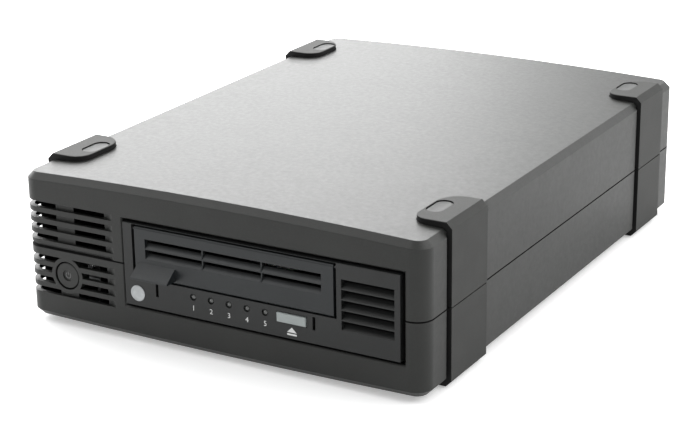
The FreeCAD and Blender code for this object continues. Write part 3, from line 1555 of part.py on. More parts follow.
def pinion_outline(module, teeth, backlash):
    """The pinion's toothed outline, from the involute's formula."""
    pitch = module * teeth / 2
    base = pitch * math.cos(PRESSURE_ANGLE)
    tip = pitch + module
    root = pitch - DEDENDUM * module
    half_pitch = math.pi / (2 * teeth) - backlash / (2 * pitch) + tooth_flank(pitch, base)
    radii = [max(base, root) + (tip - max(base, root)) * step / 4 for step in range(5)]
    points = []
    for tooth in range(int(teeth)):
        middle = 2 * math.pi * tooth / teeth
        angles = [half_pitch - tooth_flank(radius, base) for radius in radii]
        rising = [(root, -half_pitch)] + [(radius, -angle) for radius, angle in zip(radii, angles)]
        falling = [(radius, -angle) for radius, angle in reversed(rising)]
        for radius, angle in rising + falling:
            points.append(FreeCAD.Vector(radius * math.cos(middle + angle),
                                         radius * math.sin(middle + angle), 0))
    return Part.Face(Part.makePolygon(points + points[:1]))


def load_pinion():
    """The pinion that drives the cradle's rack, with its shaft; its size comes from the sheet."""
    low = RACK_LOW.number
    width = S.gear_width.number
    wheel = pinion_outline(S.gear_module.number, S.gear_teeth.number, S.mesh_backlash.number)
    wheel = wheel.extrude(FreeCAD.Vector(0, 0, width))
    wheel.translate(FreeCAD.Vector(0, 0, low))
    start = PLATE_TOP.number + 0.5
    shaft = Part.makeCylinder(S.roller_pin.number, low - start, FreeCAD.Vector(0, 0, start))
    feature = DOC.addObject("Part::Feature", "load_pinion")
    feature.Shape = wheel.fuse(shaft)
    place(feature, PINION[0], PINION[1], 0)
    return keep("load_pinion", feature)


def load_motor():
    """The small motor under the pinion, bored for its shaft."""
    top = RACK_LOW - S.rail_gap
    can = rod("can", "Z", PLATE_TOP, top, *PINION, PITCH_RADIUS)
    bore = rod("bearing", "Z", PLATE_TOP + 0.3, top + 1, *PINION, S.roller_pin + S.shaft_fit)
    return keep("load_motor", less("load_motor", can, bore))


def cradle():
    """The tray that carries a cartridge back to the reel motor, with a rack on its right wall."""
    body = new_body("cartridge_cradle")
    sheet = S.cradle_sheet
    low = BAY_LOW - sheet
    left, right = BAY_LEFT - sheet, BAY_RIGHT + sheet
    pad(body, "XY", low, BAY_LOW, lambda d: d.rectangle(left, CRADLE_FRONT, right, CRADLE_REAR))
    for near, far in ((left, BAY_LEFT), (BAY_RIGHT, right)):
        pad(body, "XY", low, BAY_LOW + S.cradle_wall, lambda d: d.rectangle(
            near, CRADLE_FRONT, far, CRADLE_REAR))
    pocket(body, "XY", low - 1, BAY_LOW + 1, lambda d: d.circle(*CHUCK, S.chuck_radius + 8))
    module = S.gear_module
    step = module * math.pi
    lean = module * math.tan(PRESSURE_ANGLE)
    half = step / 4 - S.mesh_backlash / 2
    line = PINION[0] - PITCH_RADIUS
    middle = PINION[1] - step * 3.5
    tooth = pad(body, "XY", RACK_LOW, RACK_LOW + S.gear_width, lambda d: d.polygon(
        (right - 0.2, middle - half - lean * DEDENDUM), (line + module, middle - half + lean),
        (line + module, middle + half - lean), (right - 0.2, middle + half + lean * DEDENDUM)))
    row(body, [tooth], "Y_Axis", step * 6, 7)
    return keep("cartridge_cradle", body)


def cradle_rails():
    """Two rails on the plate: the cradle rests on their ledges and slides between their walls."""
    rails = []
    low = BAY_LOW - S.cradle_sheet
    for side, wall in ((-1, BAY_LEFT - S.cradle_sheet), (1, BAY_RIGHT + S.cradle_sheet)):
        outer = wall + (S.rail_gap + 1.6) * side
        inner = wall - 3 * side
        near, far = ordered(inner, outer)
        ledge = block("ledge", near, far, CRADLE_FRONT + 4, PINION[1] - 16, PLATE_TOP, low - S.rail_gap)
        near, far = ordered(wall + S.rail_gap * side, outer)
        fence = block("fence", near, far, CRADLE_FRONT + 4, PINION[1] - 26 - S.cradle_travel, PLATE_TOP,
                      low + S.fence_height)
        rails.append(joined("cradle_rail", ledge, fence))
    return keep("cradle_rails", group("cradle_rails", *rails))


# ---------------------------------------------------------------- the power supply

SUPPLY_LEFT = -HALF + S.supply_inset
SUPPLY_RIGHT = SUPPLY_LEFT + S.supply_width
SUPPLY_FRONT = back(S.supply_front)
SUPPLY_REAR = SUPPLY_FRONT + S.supply_length
# each capacitor's place: across from the middle of the board, and in from its rear edge
CANS = [(-8.5, 14), (8.5, 14), (-8.5, 32)]


def power_supply():
    """The supply's board on four feet, with heat sink, transformer and capacitors."""
    low = up(S.supply_board_low)
    top = low + S.board_thickness
    keep("supply_board", block("supply_board", SUPPLY_LEFT, SUPPLY_RIGHT, SUPPLY_FRONT, SUPPLY_REAR, low, top))
    feet = [rod("supply_foot", "Z", up(S.case_wall), low, across, along, 3.0)
            for across in (SUPPLY_LEFT + 5, SUPPLY_RIGHT - 5) for along in (SUPPLY_FRONT + 5, SUPPLY_REAR - 5)]
    STANDOFFS.extend(feet)

    sink = new_body("heat_sink")
    plate = SUPPLY_LEFT + S.sink_inset
    face = plate + S.sink_plate
    start = SUPPLY_FRONT + S.sink_front
    head = top + S.sink_height
    pad(sink, "XY", top, head, lambda d: d.rectangle(plate, start, face, start + S.sink_length))
    fin = pad(sink, "XY", top + S.sink_height / 10, head, lambda d: d.rectangle(
        face - 0.2, start + 2, face + S.sink_fin_reach, start + 2 + S.sink_fin))
    row(sink, [fin], "Y_Axis", S.sink_pitch * 10, 11)
    keep("heat_sink", sink)

    x, y = SUPPLY_LEFT + S.supply_width / 2, SUPPLY_FRONT + S.core_place
    half, leg_half, deep = S.core_half, S.core_leg_half, S.core_half_depth
    low, high = top + S.core_yoke, top + S.core_height - S.core_yoke
    core = block("core", x - half, x + half, y - deep, y + deep, top, top + S.core_height)
    windows = [block("core_window", left, left + S.core_window, y - deep - 1, y + deep + 1, low, high)
               for left in (x - leg_half - S.core_window, x + leg_half)]
    keep("transformer_core", less("transformer_core", core, *windows))
    coil = block("coil", x - S.coil_half, x + S.coil_half, y - S.coil_half_depth, y + S.coil_half_depth,
                 low + S.coil_fit, high - S.coil_fit)
    leg = block("coil_leg", x - leg_half, x + leg_half, y - deep, y + deep, low - 1, high + 1)
    keep("transformer_coil", less("transformer_coil", coil, leg))
    cans = [rod("can", "Z", top, top + S.capacitor_height, x + shift, SUPPLY_REAR - depth,
                S.capacitor_radius) for shift, depth in CANS]
    keep("capacitors", group("capacitors", *cans))


def ribbon():
    """The flat cable between the drive's rear socket and the interface board."""
    body = new_body("data_ribbon")
    start = PORT_FACE
    end = PANEL_FACE - S.data_depth - S.board_thickness
    low = TRAY_FLOOR + 4
    pad(body, "YZ", PORT_LEFT + 4, PORT_RIGHT - 4, lambda d: d.polygon(
        (start, low), (start + 12, low), (start + 30, low - 6), (end - 16, low - 6), (end, low + 2),
        (end, low + 3), (end - 16, low - 5), (start + 30, low - 5), (start + 12, low + 1), (start, low + 1)))
    return keep("data_ribbon", body)


# ---------------------------------------------------------------- everything, checked and written

def build():
    case_shell("top_cover", "upper")
    case_shell("base_cover", "lower")
    grips("upper")
    grips("lower")
    foot_pads()
    case_screws()
    power_button()
    coil_spring("power_spring", POWER_X, back(S.power_length + S.rail_gap), POWER_SWITCH_FACE, POWER_Z,
                S.power_stem + S.spring_wire * 3, S.spring_wire)
    power_switch()
    rear_panel()
    fan_frame()
    fan_rotor()
    fan_guard()
    fan_screws()
    mains_inlet()
    data_socket("data_socket_lower", DATA_LEVELS[0])
    data_socket("data_socket_upper", DATA_LEVELS[1])
    interface_board()
    drive_tray()
    drive_lid()
    drive_rails()
    drive_bezel()
    cartridge_door()
    door_pins()
    badge()
    lamps()
    eject_button()
    front_board()
    mechanism_plate()
    main_board()
    drive_motor("reel_motor", CHUCK)
    drive_motor("take_up_motor", REEL)
    reel_chuck()
    take_up_reel()
    guide_rollers()
    head_parts()
    load_pinion()
    load_motor()
    cradle()
    cradle_rails()
    power_supply()
    ribbon()
    keep("standoffs", group("standoffs", *STANDOFFS))


def check():
    """Stop if any feature failed, removed nothing, or left a piece empty or broken."""
    for thing in DOC.Objects:
        if "Invalid" in thing.State or "Error" in thing.State:
            raise RuntimeError("%s (%s) failed: %s" % (thing.Name, thing.Label, thing.State))
        if thing.TypeId in ("PartDesign::Pocket", "PartDesign::Groove"):
            if thing.Shape.Volume > thing.BaseFeature.Shape.Volume - 1e-6:
                raise RuntimeError("%s cuts nothing" % thing.Name)
    for node, thing in NODES.items():
        if thing.Shape.isNull() or not thing.Shape.isValid() or not thing.Shape.Solids:
            raise RuntimeError("%s has no valid shape" % node)


build()
DOC.recompute()
check()
os.makedirs("parts", exist_ok=True)
for name, piece in NODES.items():
    piece.Shape.exportStep("parts/%s.step" % name)
print("%d nodes" % len(NODES))
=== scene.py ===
"""Looks for the data tape drive: finishes, printed marks, lenses, screws, windings and a plain studio."""
import json
import math

import bmesh
import bpy
from mathutils import Matrix, Vector


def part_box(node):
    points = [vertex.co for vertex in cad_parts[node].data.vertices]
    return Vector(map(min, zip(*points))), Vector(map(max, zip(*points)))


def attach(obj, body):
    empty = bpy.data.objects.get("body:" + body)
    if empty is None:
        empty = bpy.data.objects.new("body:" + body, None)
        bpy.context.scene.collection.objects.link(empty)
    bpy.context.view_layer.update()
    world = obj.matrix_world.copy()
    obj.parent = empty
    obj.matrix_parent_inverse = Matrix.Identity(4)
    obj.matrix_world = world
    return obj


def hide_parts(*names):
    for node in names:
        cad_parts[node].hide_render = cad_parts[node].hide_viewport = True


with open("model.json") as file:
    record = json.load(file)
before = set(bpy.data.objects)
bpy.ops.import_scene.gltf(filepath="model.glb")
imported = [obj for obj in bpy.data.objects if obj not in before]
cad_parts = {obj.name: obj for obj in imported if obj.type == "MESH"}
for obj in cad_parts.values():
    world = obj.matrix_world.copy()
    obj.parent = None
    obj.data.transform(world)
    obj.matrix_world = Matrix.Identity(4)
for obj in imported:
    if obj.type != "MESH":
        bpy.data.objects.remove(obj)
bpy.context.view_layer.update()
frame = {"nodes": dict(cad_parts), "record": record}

MM = 0.001
TURN = 2 * math.pi
SHEET = 0.04 * MM                 # ink and film thickness


def middle(node):
    """The middle of a CAD node's box."""
    low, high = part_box(node)
    return (low + high) / 2


# ---- shader maths ---------------------------------------------------------

class Value:
    """A number, colour, vector or shader that a node tree works out."""

    def __init__(self, workshop, socket):
        self.workshop = workshop
        self.socket = socket

    def maths(self, operation, *parts):
        return self.workshop.node("ShaderNodeMath", {"operation": operation}, dict(enumerate(parts)))

    def __add__(self, other):
        return self.maths("ADD", self, other)

    __radd__ = __add__

    def __sub__(self, other):
        return self.maths("SUBTRACT", self, other)

    def __rsub__(self, other):
        return self.maths("SUBTRACT", other, self)

    def __mul__(self, other):
        return self.maths("MULTIPLY", self, other)

    __rmul__ = __mul__

    def __truediv__(self, other):
        return self.maths("DIVIDE", self, other)

    def __rtruediv__(self, other):
        return self.maths("DIVIDE", other, self)

    def __gt__(self, other):
        return self.maths("GREATER_THAN", self, other)

    def __lt__(self, other):
        return self.maths("LESS_THAN", self, other)

    def __abs__(self):
        return self.maths("ABSOLUTE", self)

    def at_least(self, other):
        """The larger of two values."""
        return self.maths("MAXIMUM", self, other)

    def wave(self):
        """Zero in the middle of each whole number's cell and half at its edges."""
        return abs(self.maths("FRACT", self) - 0.5)


class Workshop:
    """The node tree of a material or of the world, started empty."""

    def __init__(self, owner):
        owner.use_nodes = True
        self.tree = owner.node_tree
        self.tree.nodes.clear()

    def node(self, kind, settings=None, sockets=None, output=0):
        """Adds a node, sets its settings, then gives its sockets numbers or links."""
        made = self.tree.nodes.new(kind)
        for key, value in (settings or {}).items():
            setattr(made, key, value)
        for key, value in (sockets or {}).items():
            if isinstance(value, Value):
                self.tree.links.new(value.socket, made.inputs[key])
            else:
                made.inputs[key].default_value = value
        return Value(self, made.outputs[output]) if made.outputs else None

    def seen_directly(self):
        """One for camera, glossy and transmission rays, none for the light that falls on things."""
        rays = [self.node("ShaderNodeLightPath", output="Is %s Ray" % kind)
                for kind in ("Camera", "Glossy", "Transmission")]
        return rays[0].at_least(rays[1].at_least(rays[2]))


class Finish(Workshop):
    """One procedural material, read in object coordinates."""

    def __init__(self, name):
        self.material = bpy.data.materials.new(name)
        super().__init__(self.material)
        self.place = self.node("ShaderNodeTexCoord", output="Object")

    def axis(self, letter):
        return self.node("ShaderNodeSeparateXYZ", sockets={0: self.place}, output=letter)

    def moved(self, centre=(0, 0, 0), scale=(1, 1, 1)):
        """Object coordinates measured from a centre and stretched."""
        shifted = self.node("ShaderNodeVectorMath", {"operation": "SUBTRACT"}, {0: self.place, 1: centre})
        return self.node("ShaderNodeVectorMath", {"operation": "MULTIPLY"}, {0: shifted, 1: scale})

    def noise(self, grain, detail=3.0, rough=0.55, where=None):
        """Noise whose lumps are about one grain across, in metres."""
        return self.node("ShaderNodeTexNoise", None, {
            "Vector": where or self.place, "Scale": 1 / grain, "Detail": detail, "Roughness": rough})

    def cells(self, grain, feature="F1"):
        return self.node("ShaderNodeTexVoronoi", {"feature": feature},
                         {"Vector": self.place, "Scale": 1 / grain})

    def ramp(self, value, low, high, start=0.0, end=1.0):
        """Maps low..high to start..end and stays there outside."""
        return self.node("ShaderNodeMapRange", {"clamp": True}, {0: value, 1: low, 2: high, 3: start, 4: end})

    def mix(self, share, first, second):
        tints = [tint if isinstance(tint, Value) else (*tint, 1) for tint in (first, second)]
        return self.node("ShaderNodeMix", {"data_type": "RGBA"}, {0: share, 6: tints[0], 7: tints[1]},
                         output=2)

    def edges(self, radius):
        """One along sharp outer edges and corners, none on flat faces."""
        own = self.node("ShaderNodeNewGeometry", output="Normal")
        agree = self.node("ShaderNodeVectorMath", {"operation": "DOT_PRODUCT"},
                          {0: self.rounded(radius), 1: own}, output="Value")
        return self.ramp(agree, 0.995, 0.85)

    def hollows(self, reach):
        """One deep in gaps and slots, none on open faces: the share of shade that moulded() paints in."""
        open_share = self.node("ShaderNodeAmbientOcclusion", {"samples": 6}, {"Distance": reach}, output="AO")
        return self.ramp(open_share, 0.5, 0.2)

    def bump(self, height, depth, under=None):
        """A normal lifted by a height of 0..1 over a depth in metres."""
        sockets = {"Height": height, "Distance": depth, "Strength": 1}
        if under:
            sockets["Normal"] = under
        return self.node("ShaderNodeBump", None, sockets)

    def rounded(self, radius):
        """A normal that turns smoothly round each edge."""
        return self.node("ShaderNodeBevel", {"samples": 4}, {"Radius": radius})

    def surface(self, colour, roughness, normal=None, **extra):
        """Closes the finish with a shader and gives back the material."""
        painted = colour if isinstance(colour, Value) else (*colour, 1)
        sockets = {"Base Color": painted, "Roughness": roughness}
        if normal:
            sockets["Normal"] = normal
        sockets.update({key.replace("_", " "): value for key, value in extra.items()})
        self.node("ShaderNodeOutputMaterial",
                  sockets={"Surface": self.node("ShaderNodeBsdfPrincipled", None, sockets)})
        return self.material


# ---- finishes -------------------------------------------------------------

def moulded(name, tint, rough, grain=0.45 * MM, edge=0.35 * MM, grain_and_highlight_lift=0.35, shade_reach=0.0, shade=None, **extra):
    """Injection-moulded plastic with a spark-eroded skin; edges are polished smoother, and painted lighter as
    a highlight.

    shade(finish) gives a share of one where the surface lies deep in a seam or slot; there, and in gaps and
    deep corners within the given reach, shade is painted in as a darker colour.
    """
    f = Finish(name)
    skin = f.noise(grain, detail=2.0, rough=0.7)
    pits = f.cells(grain * 1.6, "SMOOTH_F1")
    cloud = f.noise(38 * MM, detail=2.0)
    dust = f.noise(2.6 * MM, detail=5.0, rough=0.7)
    edge_share = f.edges(edge)
    deep = [channel * 0.9 for channel in tint]
    pale = [channel * 1.13 + 0.0015 for channel in tint]
    pale_grain_and_highlight = [channel * (1 + grain_and_highlight_lift) + 0.004 for channel in tint]
    colour = f.mix(f.ramp(cloud, 0.35, 0.65), deep, pale)
    colour = f.mix(f.ramp(skin, 0.42, 0.68) * 0.5, colour, pale_grain_and_highlight)
    # painted highlight: the edges are mixed towards the paler colour, as if they caught the light
    colour = f.mix(edge_share * 0.55, colour, pale_grain_and_highlight)
    roughness = f.ramp(dust, 0.3, 0.7, rough - 0.035, rough + 0.035) - edge_share * 0.08
    if shade_reach:
        painted_shade_share = f.hollows(shade_reach)
        if shade:
            painted_shade_share = painted_shade_share.at_least(shade(f))
        # painted shade: gaps, slots and deep corners are darkened to a tenth of the tint
        colour = f.mix(painted_shade_share, colour, [channel * 0.1 for channel in tint])
        roughness = roughness + painted_shade_share * 0.5
    height = skin * 0.6 + pits * 0.4
    return f.surface(colour, roughness, f.bump(height, 0.02 * MM, under=f.rounded(edge)), **extra)


def grip_skin(name, tint, core):
    """A grey skin on the outer faces and the leaf's top; the other walls are painted near-black as shade."""
    f = Finish(name)
    skin = f.noise(0.6 * MM, detail=3.0, rough=0.7)
    cloud = f.noise(12 * MM)
    facing = f.node("ShaderNodeNewGeometry", output="Normal")
    upright = f.node("ShaderNodeSeparateXYZ", sockets={0: facing}, output="Z")
    covered = (abs(upright) > 0.55).at_least(abs(f.axis("X")) > GRIP_FACE - 0.2 * MM)
    pale = [channel * 1.25 for channel in tint]
    colour = f.mix(f.ramp(cloud, 0.35, 0.65) * 0.6 + f.ramp(skin, 0.45, 0.7) * 0.3, tint, pale)
    # painted shade: walls facing front, back and inwards take the near-black colour
    colour = f.mix(covered, core, colour)
    roughness = f.ramp(skin, 0.3, 0.7, 0.62, 0.72)
    return f.surface(colour, roughness, f.bump(skin, 0.03 * MM, under=f.rounded(0.3 * MM)),
                     Specular_IOR_Level=0.25)


def rubber(name, tint):
    f = Finish(name)
    lumps = f.noise(0.8 * MM, detail=4.0, rough=0.65)
    grey = [channel * 1.9 + 0.01 for channel in tint]
    colour = f.mix(f.ramp(f.noise(5 * MM), 0.45, 0.75) * 0.4, tint, grey)
    return f.surface(colour, f.ramp(lumps, 0.3, 0.7, 0.66, 0.82),
                     f.bump(lumps, 0.03 * MM, under=f.rounded(0.3 * MM)))


def sheet_metal(name, tint, rough, spangle=5 * MM, along=(1, 1, 1)):
    """Zinc-plated or rolled sheet with a faint spangle and rolling lines."""
    f = Finish(name)
    crystals = f.cells(spangle)
    lines = f.noise(0.5 * MM, detail=3.0, where=f.moved(scale=along))
    smear = f.noise(22 * MM, detail=3.0)
    cold = [channel * 0.86 for channel in tint]
    warm = [min(1.0, channel * 1.08) for channel in tint]
    colour = f.mix(f.ramp(crystals, 0.1, 0.7) * 0.6 + f.ramp(smear, 0.35, 0.7) * 0.4, cold, warm)
    roughness = f.ramp(lines, 0.3, 0.7, rough - 0.06, rough + 0.08)
    return f.surface(colour, roughness, f.bump(lines, 0.006 * MM, under=f.rounded(0.2 * MM)), Metallic=1.0)


def turned(name, tint, rough, grain=0.18 * MM):
    """Ground or turned metal with fine rings up its height."""
    f = Finish(name)
    rings = f.noise(grain, detail=2.0, where=f.moved(scale=(0.05, 0.05, 1)))
    cloud = f.noise(9 * MM)
    dark = [channel * 0.82 for channel in tint]
    colour = f.mix(f.ramp(cloud, 0.35, 0.7), dark, tint)
    roughness = f.ramp(rings, 0.3, 0.7, rough - 0.05, rough + 0.07)
    return f.surface(colour, roughness, f.bump(rings, 0.004 * MM, under=f.rounded(0.15 * MM)), Metallic=1.0)


def circuit_board(name, mask, track, pitch=1.27 * MM):
    """Solder mask over copper tracks, with tinned pads on a grid, each with painted shade at its drilled
    middle.
    """
    f = Finish(name)
    bend = f.noise(14 * MM, detail=1.0)
    runs_x = (f.axis("X") / pitch + f.ramp(bend, 0.42, 0.58, 0, 4)).wave()
    runs_y = (f.axis("Y") / pitch + f.ramp(bend, 0.46, 0.54, 0, 6)).wave()
    zone = f.ramp(f.cells(26 * MM), 0.38, 0.42)
    tracks = f.ramp(runs_x, 0.27, 0.33) * zone + f.ramp(runs_y, 0.27, 0.33) * (1 - zone)
    grid = f.moved(scale=(1 / (4 * pitch),) * 2 + (0,))
    near = f.node("ShaderNodeVectorMath", {"operation": "FRACTION"}, {0: grid})
    gap = f.node("ShaderNodeVectorMath", {"operation": "DISTANCE"}, {0: near, 1: (0.5, 0.5, 0)},
                 output="Value")
    pads = f.ramp(gap, 0.15, 0.13)
    hole_shade = f.ramp(gap, 0.075, 0.06)
    colour = f.mix(tracks * 0.75, mask, track)
    colour = f.mix(pads, colour, (0.62, 0.6, 0.55))
    # painted shade: the drilled middle of each pad is near-black
    colour = f.mix(hole_shade, colour, (0.02, 0.02, 0.02))
    roughness = f.ramp(f.noise(3 * MM), 0.3, 0.7, 0.28, 0.4)
    return f.surface(colour, roughness, f.bump(tracks + pads, 0.03 * MM), Metallic=pads * 0.9 * (1 - hole_shade))


def laminations(name, tint, pitch=0.5 * MM):
    """Stacked core sheets, edges showing as fine lines across Y."""
    f = Finish(name)
    line = f.ramp((f.axis("Y") / pitch).wave(), 0.3, 0.48)
    varnish = f.noise(4 * MM, detail=4.0)
    dark = [channel * 0.35 for channel in tint]
    colour = f.mix(line, tint, dark)
    colour = f.mix(f.ramp(varnish, 0.55, 0.8) * 0.5, colour, (0.16, 0.09, 0.04))
    return f.surface(colour, f.ramp(varnish, 0.3, 0.7, 0.35, 0.55), f.bump(1 - line, 0.06 * MM), Metallic=0.7)


def wound_wire(name, tint, pitch=0.42 * MM):
    """Enamelled wire laid side by side up the bobbin, with shade painted between the turns."""
    f = Finish(name)
    turn = (f.axis("Z") / pitch).wave()
    # painted shade: darker where neighbouring turns meet
    colour = f.mix(f.ramp(turn, 0.1, 0.5), tint, [channel * 0.4 for channel in tint])
    colour = f.mix(f.ramp(f.noise(3 * MM), 0.4, 0.7) * 0.4, colour, [channel * 0.7 for channel in tint])
    return f.surface(colour, 0.32, f.bump(1 - turn, 0.15 * MM), Metallic=0.55, Coat_Weight=0.5)


def ribbed_cable(name, tint, pitch=1.27 * MM):
    """Flat cable: one rib for each conductor, the first one marked red; shade is painted in the valleys
    between ribs.
    """
    f = Finish(name)
    rib = (f.axis("X") / pitch).wave()
    first = f.axis("X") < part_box("data_ribbon")[0].x + pitch
    # painted shade: darker in the valleys between ribs
    colour = f.mix(f.ramp(rib, 0.3, 0.5), tint, [channel * 0.6 for channel in tint])
    colour = f.mix(first, colour, (0.5, 0.04, 0.03))
    return f.surface(colour, 0.5, f.bump(1 - rib, 0.25 * MM))


def smoked(name, tint, rough=0.12):
    """Smoked clear plastic over a dark well."""
    f = Finish(name)
    cloud = f.noise(1.4 * MM, detail=2.0)
    colour = f.mix(f.ramp(cloud, 0.35, 0.65), tint, [channel * 1.6 for channel in tint])
    return f.surface(colour, f.ramp(cloud, 0.3, 0.7, rough, rough + 0.08), f.rounded(0.12 * MM),
                     Coat_Weight=0.6)


def ink(name, tint):
    """Pad-printed ink with slightly uneven cover."""
    f = Finish(name)
    speck = f.noise(0.25 * MM, detail=3.0)
    colour = f.mix(f.ramp(speck, 0.5, 0.85) * 0.35, tint, [channel * 0.55 for channel in tint])
    return f.surface(colour, f.ramp(speck, 0.3, 0.7, 0.42, 0.55), f.bump(speck, 0.01 * MM))


def satin_disc(name, tint, centre):
    """Satin metal film, brushed round its centre."""
    f = Finish(name)
    rings = f.noise(0.3 * MM, detail=2.0, where=f.moved(centre, (1, 0.2, 1)))
    cloud = f.noise(2.2 * MM)
    colour = f.mix(f.ramp(cloud, 0.35, 0.7), [channel * 0.86 for channel in tint], tint)
    return f.surface(colour, f.ramp(rings, 0.3, 0.7, 0.3, 0.42), f.bump(rings, 0.01 * MM), Metallic=0.55)


GRIP_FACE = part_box("upper_grips")[1].x
GRAPHITE = (0.0118, 0.0125, 0.0113)
LIP_HEIGHT = 2.0 * MM             # how far the lower half's lip stands above the seam
SEAM_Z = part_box("base_cover")[1].z - LIP_HEIGHT
SEAM_HALF = 0.42 * MM
FRONT_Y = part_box("drive_bezel")[0].y


def seam_line(f):
    """The band along the shadow gap between the two halves of the case, where its shade is painted in."""
    return abs(f.axis("Z") - SEAM_Z) < SEAM_HALF


def behind_face(near, far):
    """A share of painted shade that grows between two depths behind the drive's face."""
    return lambda f: f.ramp(f.axis("Y"), FRONT_Y + near, FRONT_Y + far)


finishes = {
    "graphite": moulded("case_graphite", GRAPHITE, 0.46, shade_reach=4 * MM, shade=seam_line,
                        Specular_IOR_Level=0.3),
    "grip": grip_skin("grip_graphite", (0.027, 0.0276, 0.0262), (0.004, 0.004, 0.004)),
    # bezel and door: painted shade deep behind the face, besides the painted shade in their gaps
    "bezel": moulded("bezel_grey", (0.0092, 0.01, 0.0098), 0.42, grain=0.35 * MM, edge=0.2 * MM,
                     shade_reach=3 * MM, shade=behind_face(2.4 * MM, 2.9 * MM), Specular_IOR_Level=0.3),
    "door": moulded("door_slate", (0.0084, 0.0104, 0.0114), 0.38, grain=0.35 * MM, edge=0.15 * MM,
                    shade_reach=1 * MM, shade=behind_face(0.7 * MM, 2.3 * MM), Specular_IOR_Level=0.32),
    "rubber": rubber("foot_rubber", (0.018, 0.018, 0.018)),
    "silver": moulded("key_silver", (0.3, 0.33, 0.325), 0.36, grain=0.3 * MM, grain_and_highlight_lift=0.05),
    "steel": sheet_metal("zinc_sheet", (0.33, 0.335, 0.34), 0.42),
    "shaft": turned("ground_steel", (0.66, 0.66, 0.67), 0.2),
    "alloy": sheet_metal("cast_alloy", (0.62, 0.63, 0.65), 0.48, spangle=1.2 * MM),
    "black": moulded("black_plastic", (0.009, 0.009, 0.0095), 0.5),
    "white_plastic": moulded("natural_plastic", (0.68, 0.67, 0.62), 0.42, grain_and_highlight_lift=0.04, Subsurface_Weight=0.1),
    "board": circuit_board("green_board", (0.008, 0.075, 0.03), (0.02, 0.16, 0.06)),
    "chip": moulded("chip_epoxy", (0.016, 0.016, 0.018), 0.55, grain=0.25 * MM),
    "ferrite": laminations("core_sheets", (0.3, 0.3, 0.31)),
    "coil": wound_wire("enamelled_wire", (0.6, 0.24, 0.07)),
    "can": moulded("can_sleeve", (0.012, 0.018, 0.05), 0.25, grain=3 * MM, grain_and_highlight_lift=0.1),
    "grey_cable": ribbed_cable("grey_ribbon", (0.4, 0.41, 0.42)),
    "magnet": turned("nickel_plate", (0.6, 0.59, 0.56), 0.22),
    "lens": smoked("lamp_lens", (0.03, 0.032, 0.03)),
    "badge": satin_disc("badge_film", (0.35, 0.365, 0.37), middle("badge_disc")),
    "ink": ink("white_ink", (0.72, 0.73, 0.72)),
    "gold": turned("gold_plate", (0.75, 0.52, 0.2), 0.3),
    "grey_ink": ink("grey_ink", (0.11, 0.11, 0.11)),
    "inlay": moulded("inlay_pad", (0.05, 0.051, 0.05), 0.6, grain=0.8 * MM, grain_and_highlight_lift=0.2,
                     Specular_IOR_Level=0.35),
}

slot_of = {part["node"]: part["material_slot"] for part in frame["record"]["subparts"]}
slot_of["door_pins"] = "black"
for name, node in frame["nodes"].items():
    for slot in node.material_slots:
        slot.material = finishes[slot_of[name]]


# ---- piece making ---------------------------------------------------------

WELD = 0.0001 * MM                # corners closer than this are one


def place(bm, name, body, slot, *nodes, sharp=35, finish=None):
    """Closes a bmesh into a piece that rides on a body and may stand for CAD nodes."""
    mesh = bpy.data.meshes.new(name)
    bm.to_mesh(mesh)
    bm.free()
    mesh.shade_smooth()
    mesh.set_sharp_from_angle(angle=math.radians(sharp))
    mesh.materials.append(finishes[finish or slot])
    piece = bpy.data.objects.new(name, mesh)
    bpy.context.scene.collection.objects.link(piece)
    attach(piece, body)
    if nodes:
        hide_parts(*nodes)


def tidy(bm):
    """Welds corners that meet and turns every face outwards."""
    bmesh.ops.remove_doubles(bm, verts=bm.verts[:], dist=WELD)
    bmesh.ops.recalc_face_normals(bm, faces=bm.faces[:])
    return bm


def lathe(bm, profile, centre, axis="Y", steps=48):
    """Spins (radius, travel) points round a line through the centre; both ends lie on the line."""
    travel = {"Y": Vector((0, 1, 0)), "Z": Vector((0, 0, 1))}[axis]
    across = Vector((1, 0, 0))
    rail = [bm.verts.new(Vector(centre) + across * radius + travel * run) for radius, run in profile]
    edges = [bm.edges.new(pair) for pair in zip(rail, rail[1:])]
    bmesh.ops.spin(bm, geom=rail + edges, cent=centre, axis=travel, dvec=(0, 0, 0), angle=TURN,
                   steps=steps, use_merge=True)


def by_share(radius, level, steps):
    """Lathe points from pairs of a share of the radius and millimetres past the level."""
    return [(share * radius, level + run * MM) for share, run in steps]


def by_inset(radius, level, steps):
    """Lathe points from pairs of millimetres in from the radius and millimetres past the level."""
    return [(radius - inset * MM, level + run * MM) for inset, run in steps]


def brick(bm, low, high, soft=0.0, segments=2):
    """A box between two corners with softened edges."""
    low, high = Vector(low), Vector(high)
    made = bmesh.ops.create_cube(bm, size=1)["verts"]
    bmesh.ops.scale(bm, vec=high - low, verts=made)
    bmesh.ops.translate(bm, vec=(high + low) / 2, verts=made)
    if soft:
        edges = list({edge for vert in made for edge in vert.link_edges})
        bmesh.ops.bevel(bm, geom=edges, offset=soft, segments=segments, profile=0.5, affect="EDGES",
                        material=-1)


def raised(bm, faces):
    """Extrudes faces where they are and gives back the new faces and their corners."""
    grown = bmesh.ops.extrude_face_region(bm, geom=faces)["geom"]
    return ([item for item in grown if isinstance(item, bmesh.types.BMFace)],
            [item for item in grown if isinstance(item, bmesh.types.BMVert)])


def face_film(bm, points):
    """An outline of (x, z) points as a film of ink on the drive's face."""
    face = bm.faces.new([bm.verts.new((x, FRONT_Y - SHEET, z)) for x, z in points])
    bmesh.ops.translate(bm, vec=(0, SHEET, 0), verts=raised(bm, [face])[1])


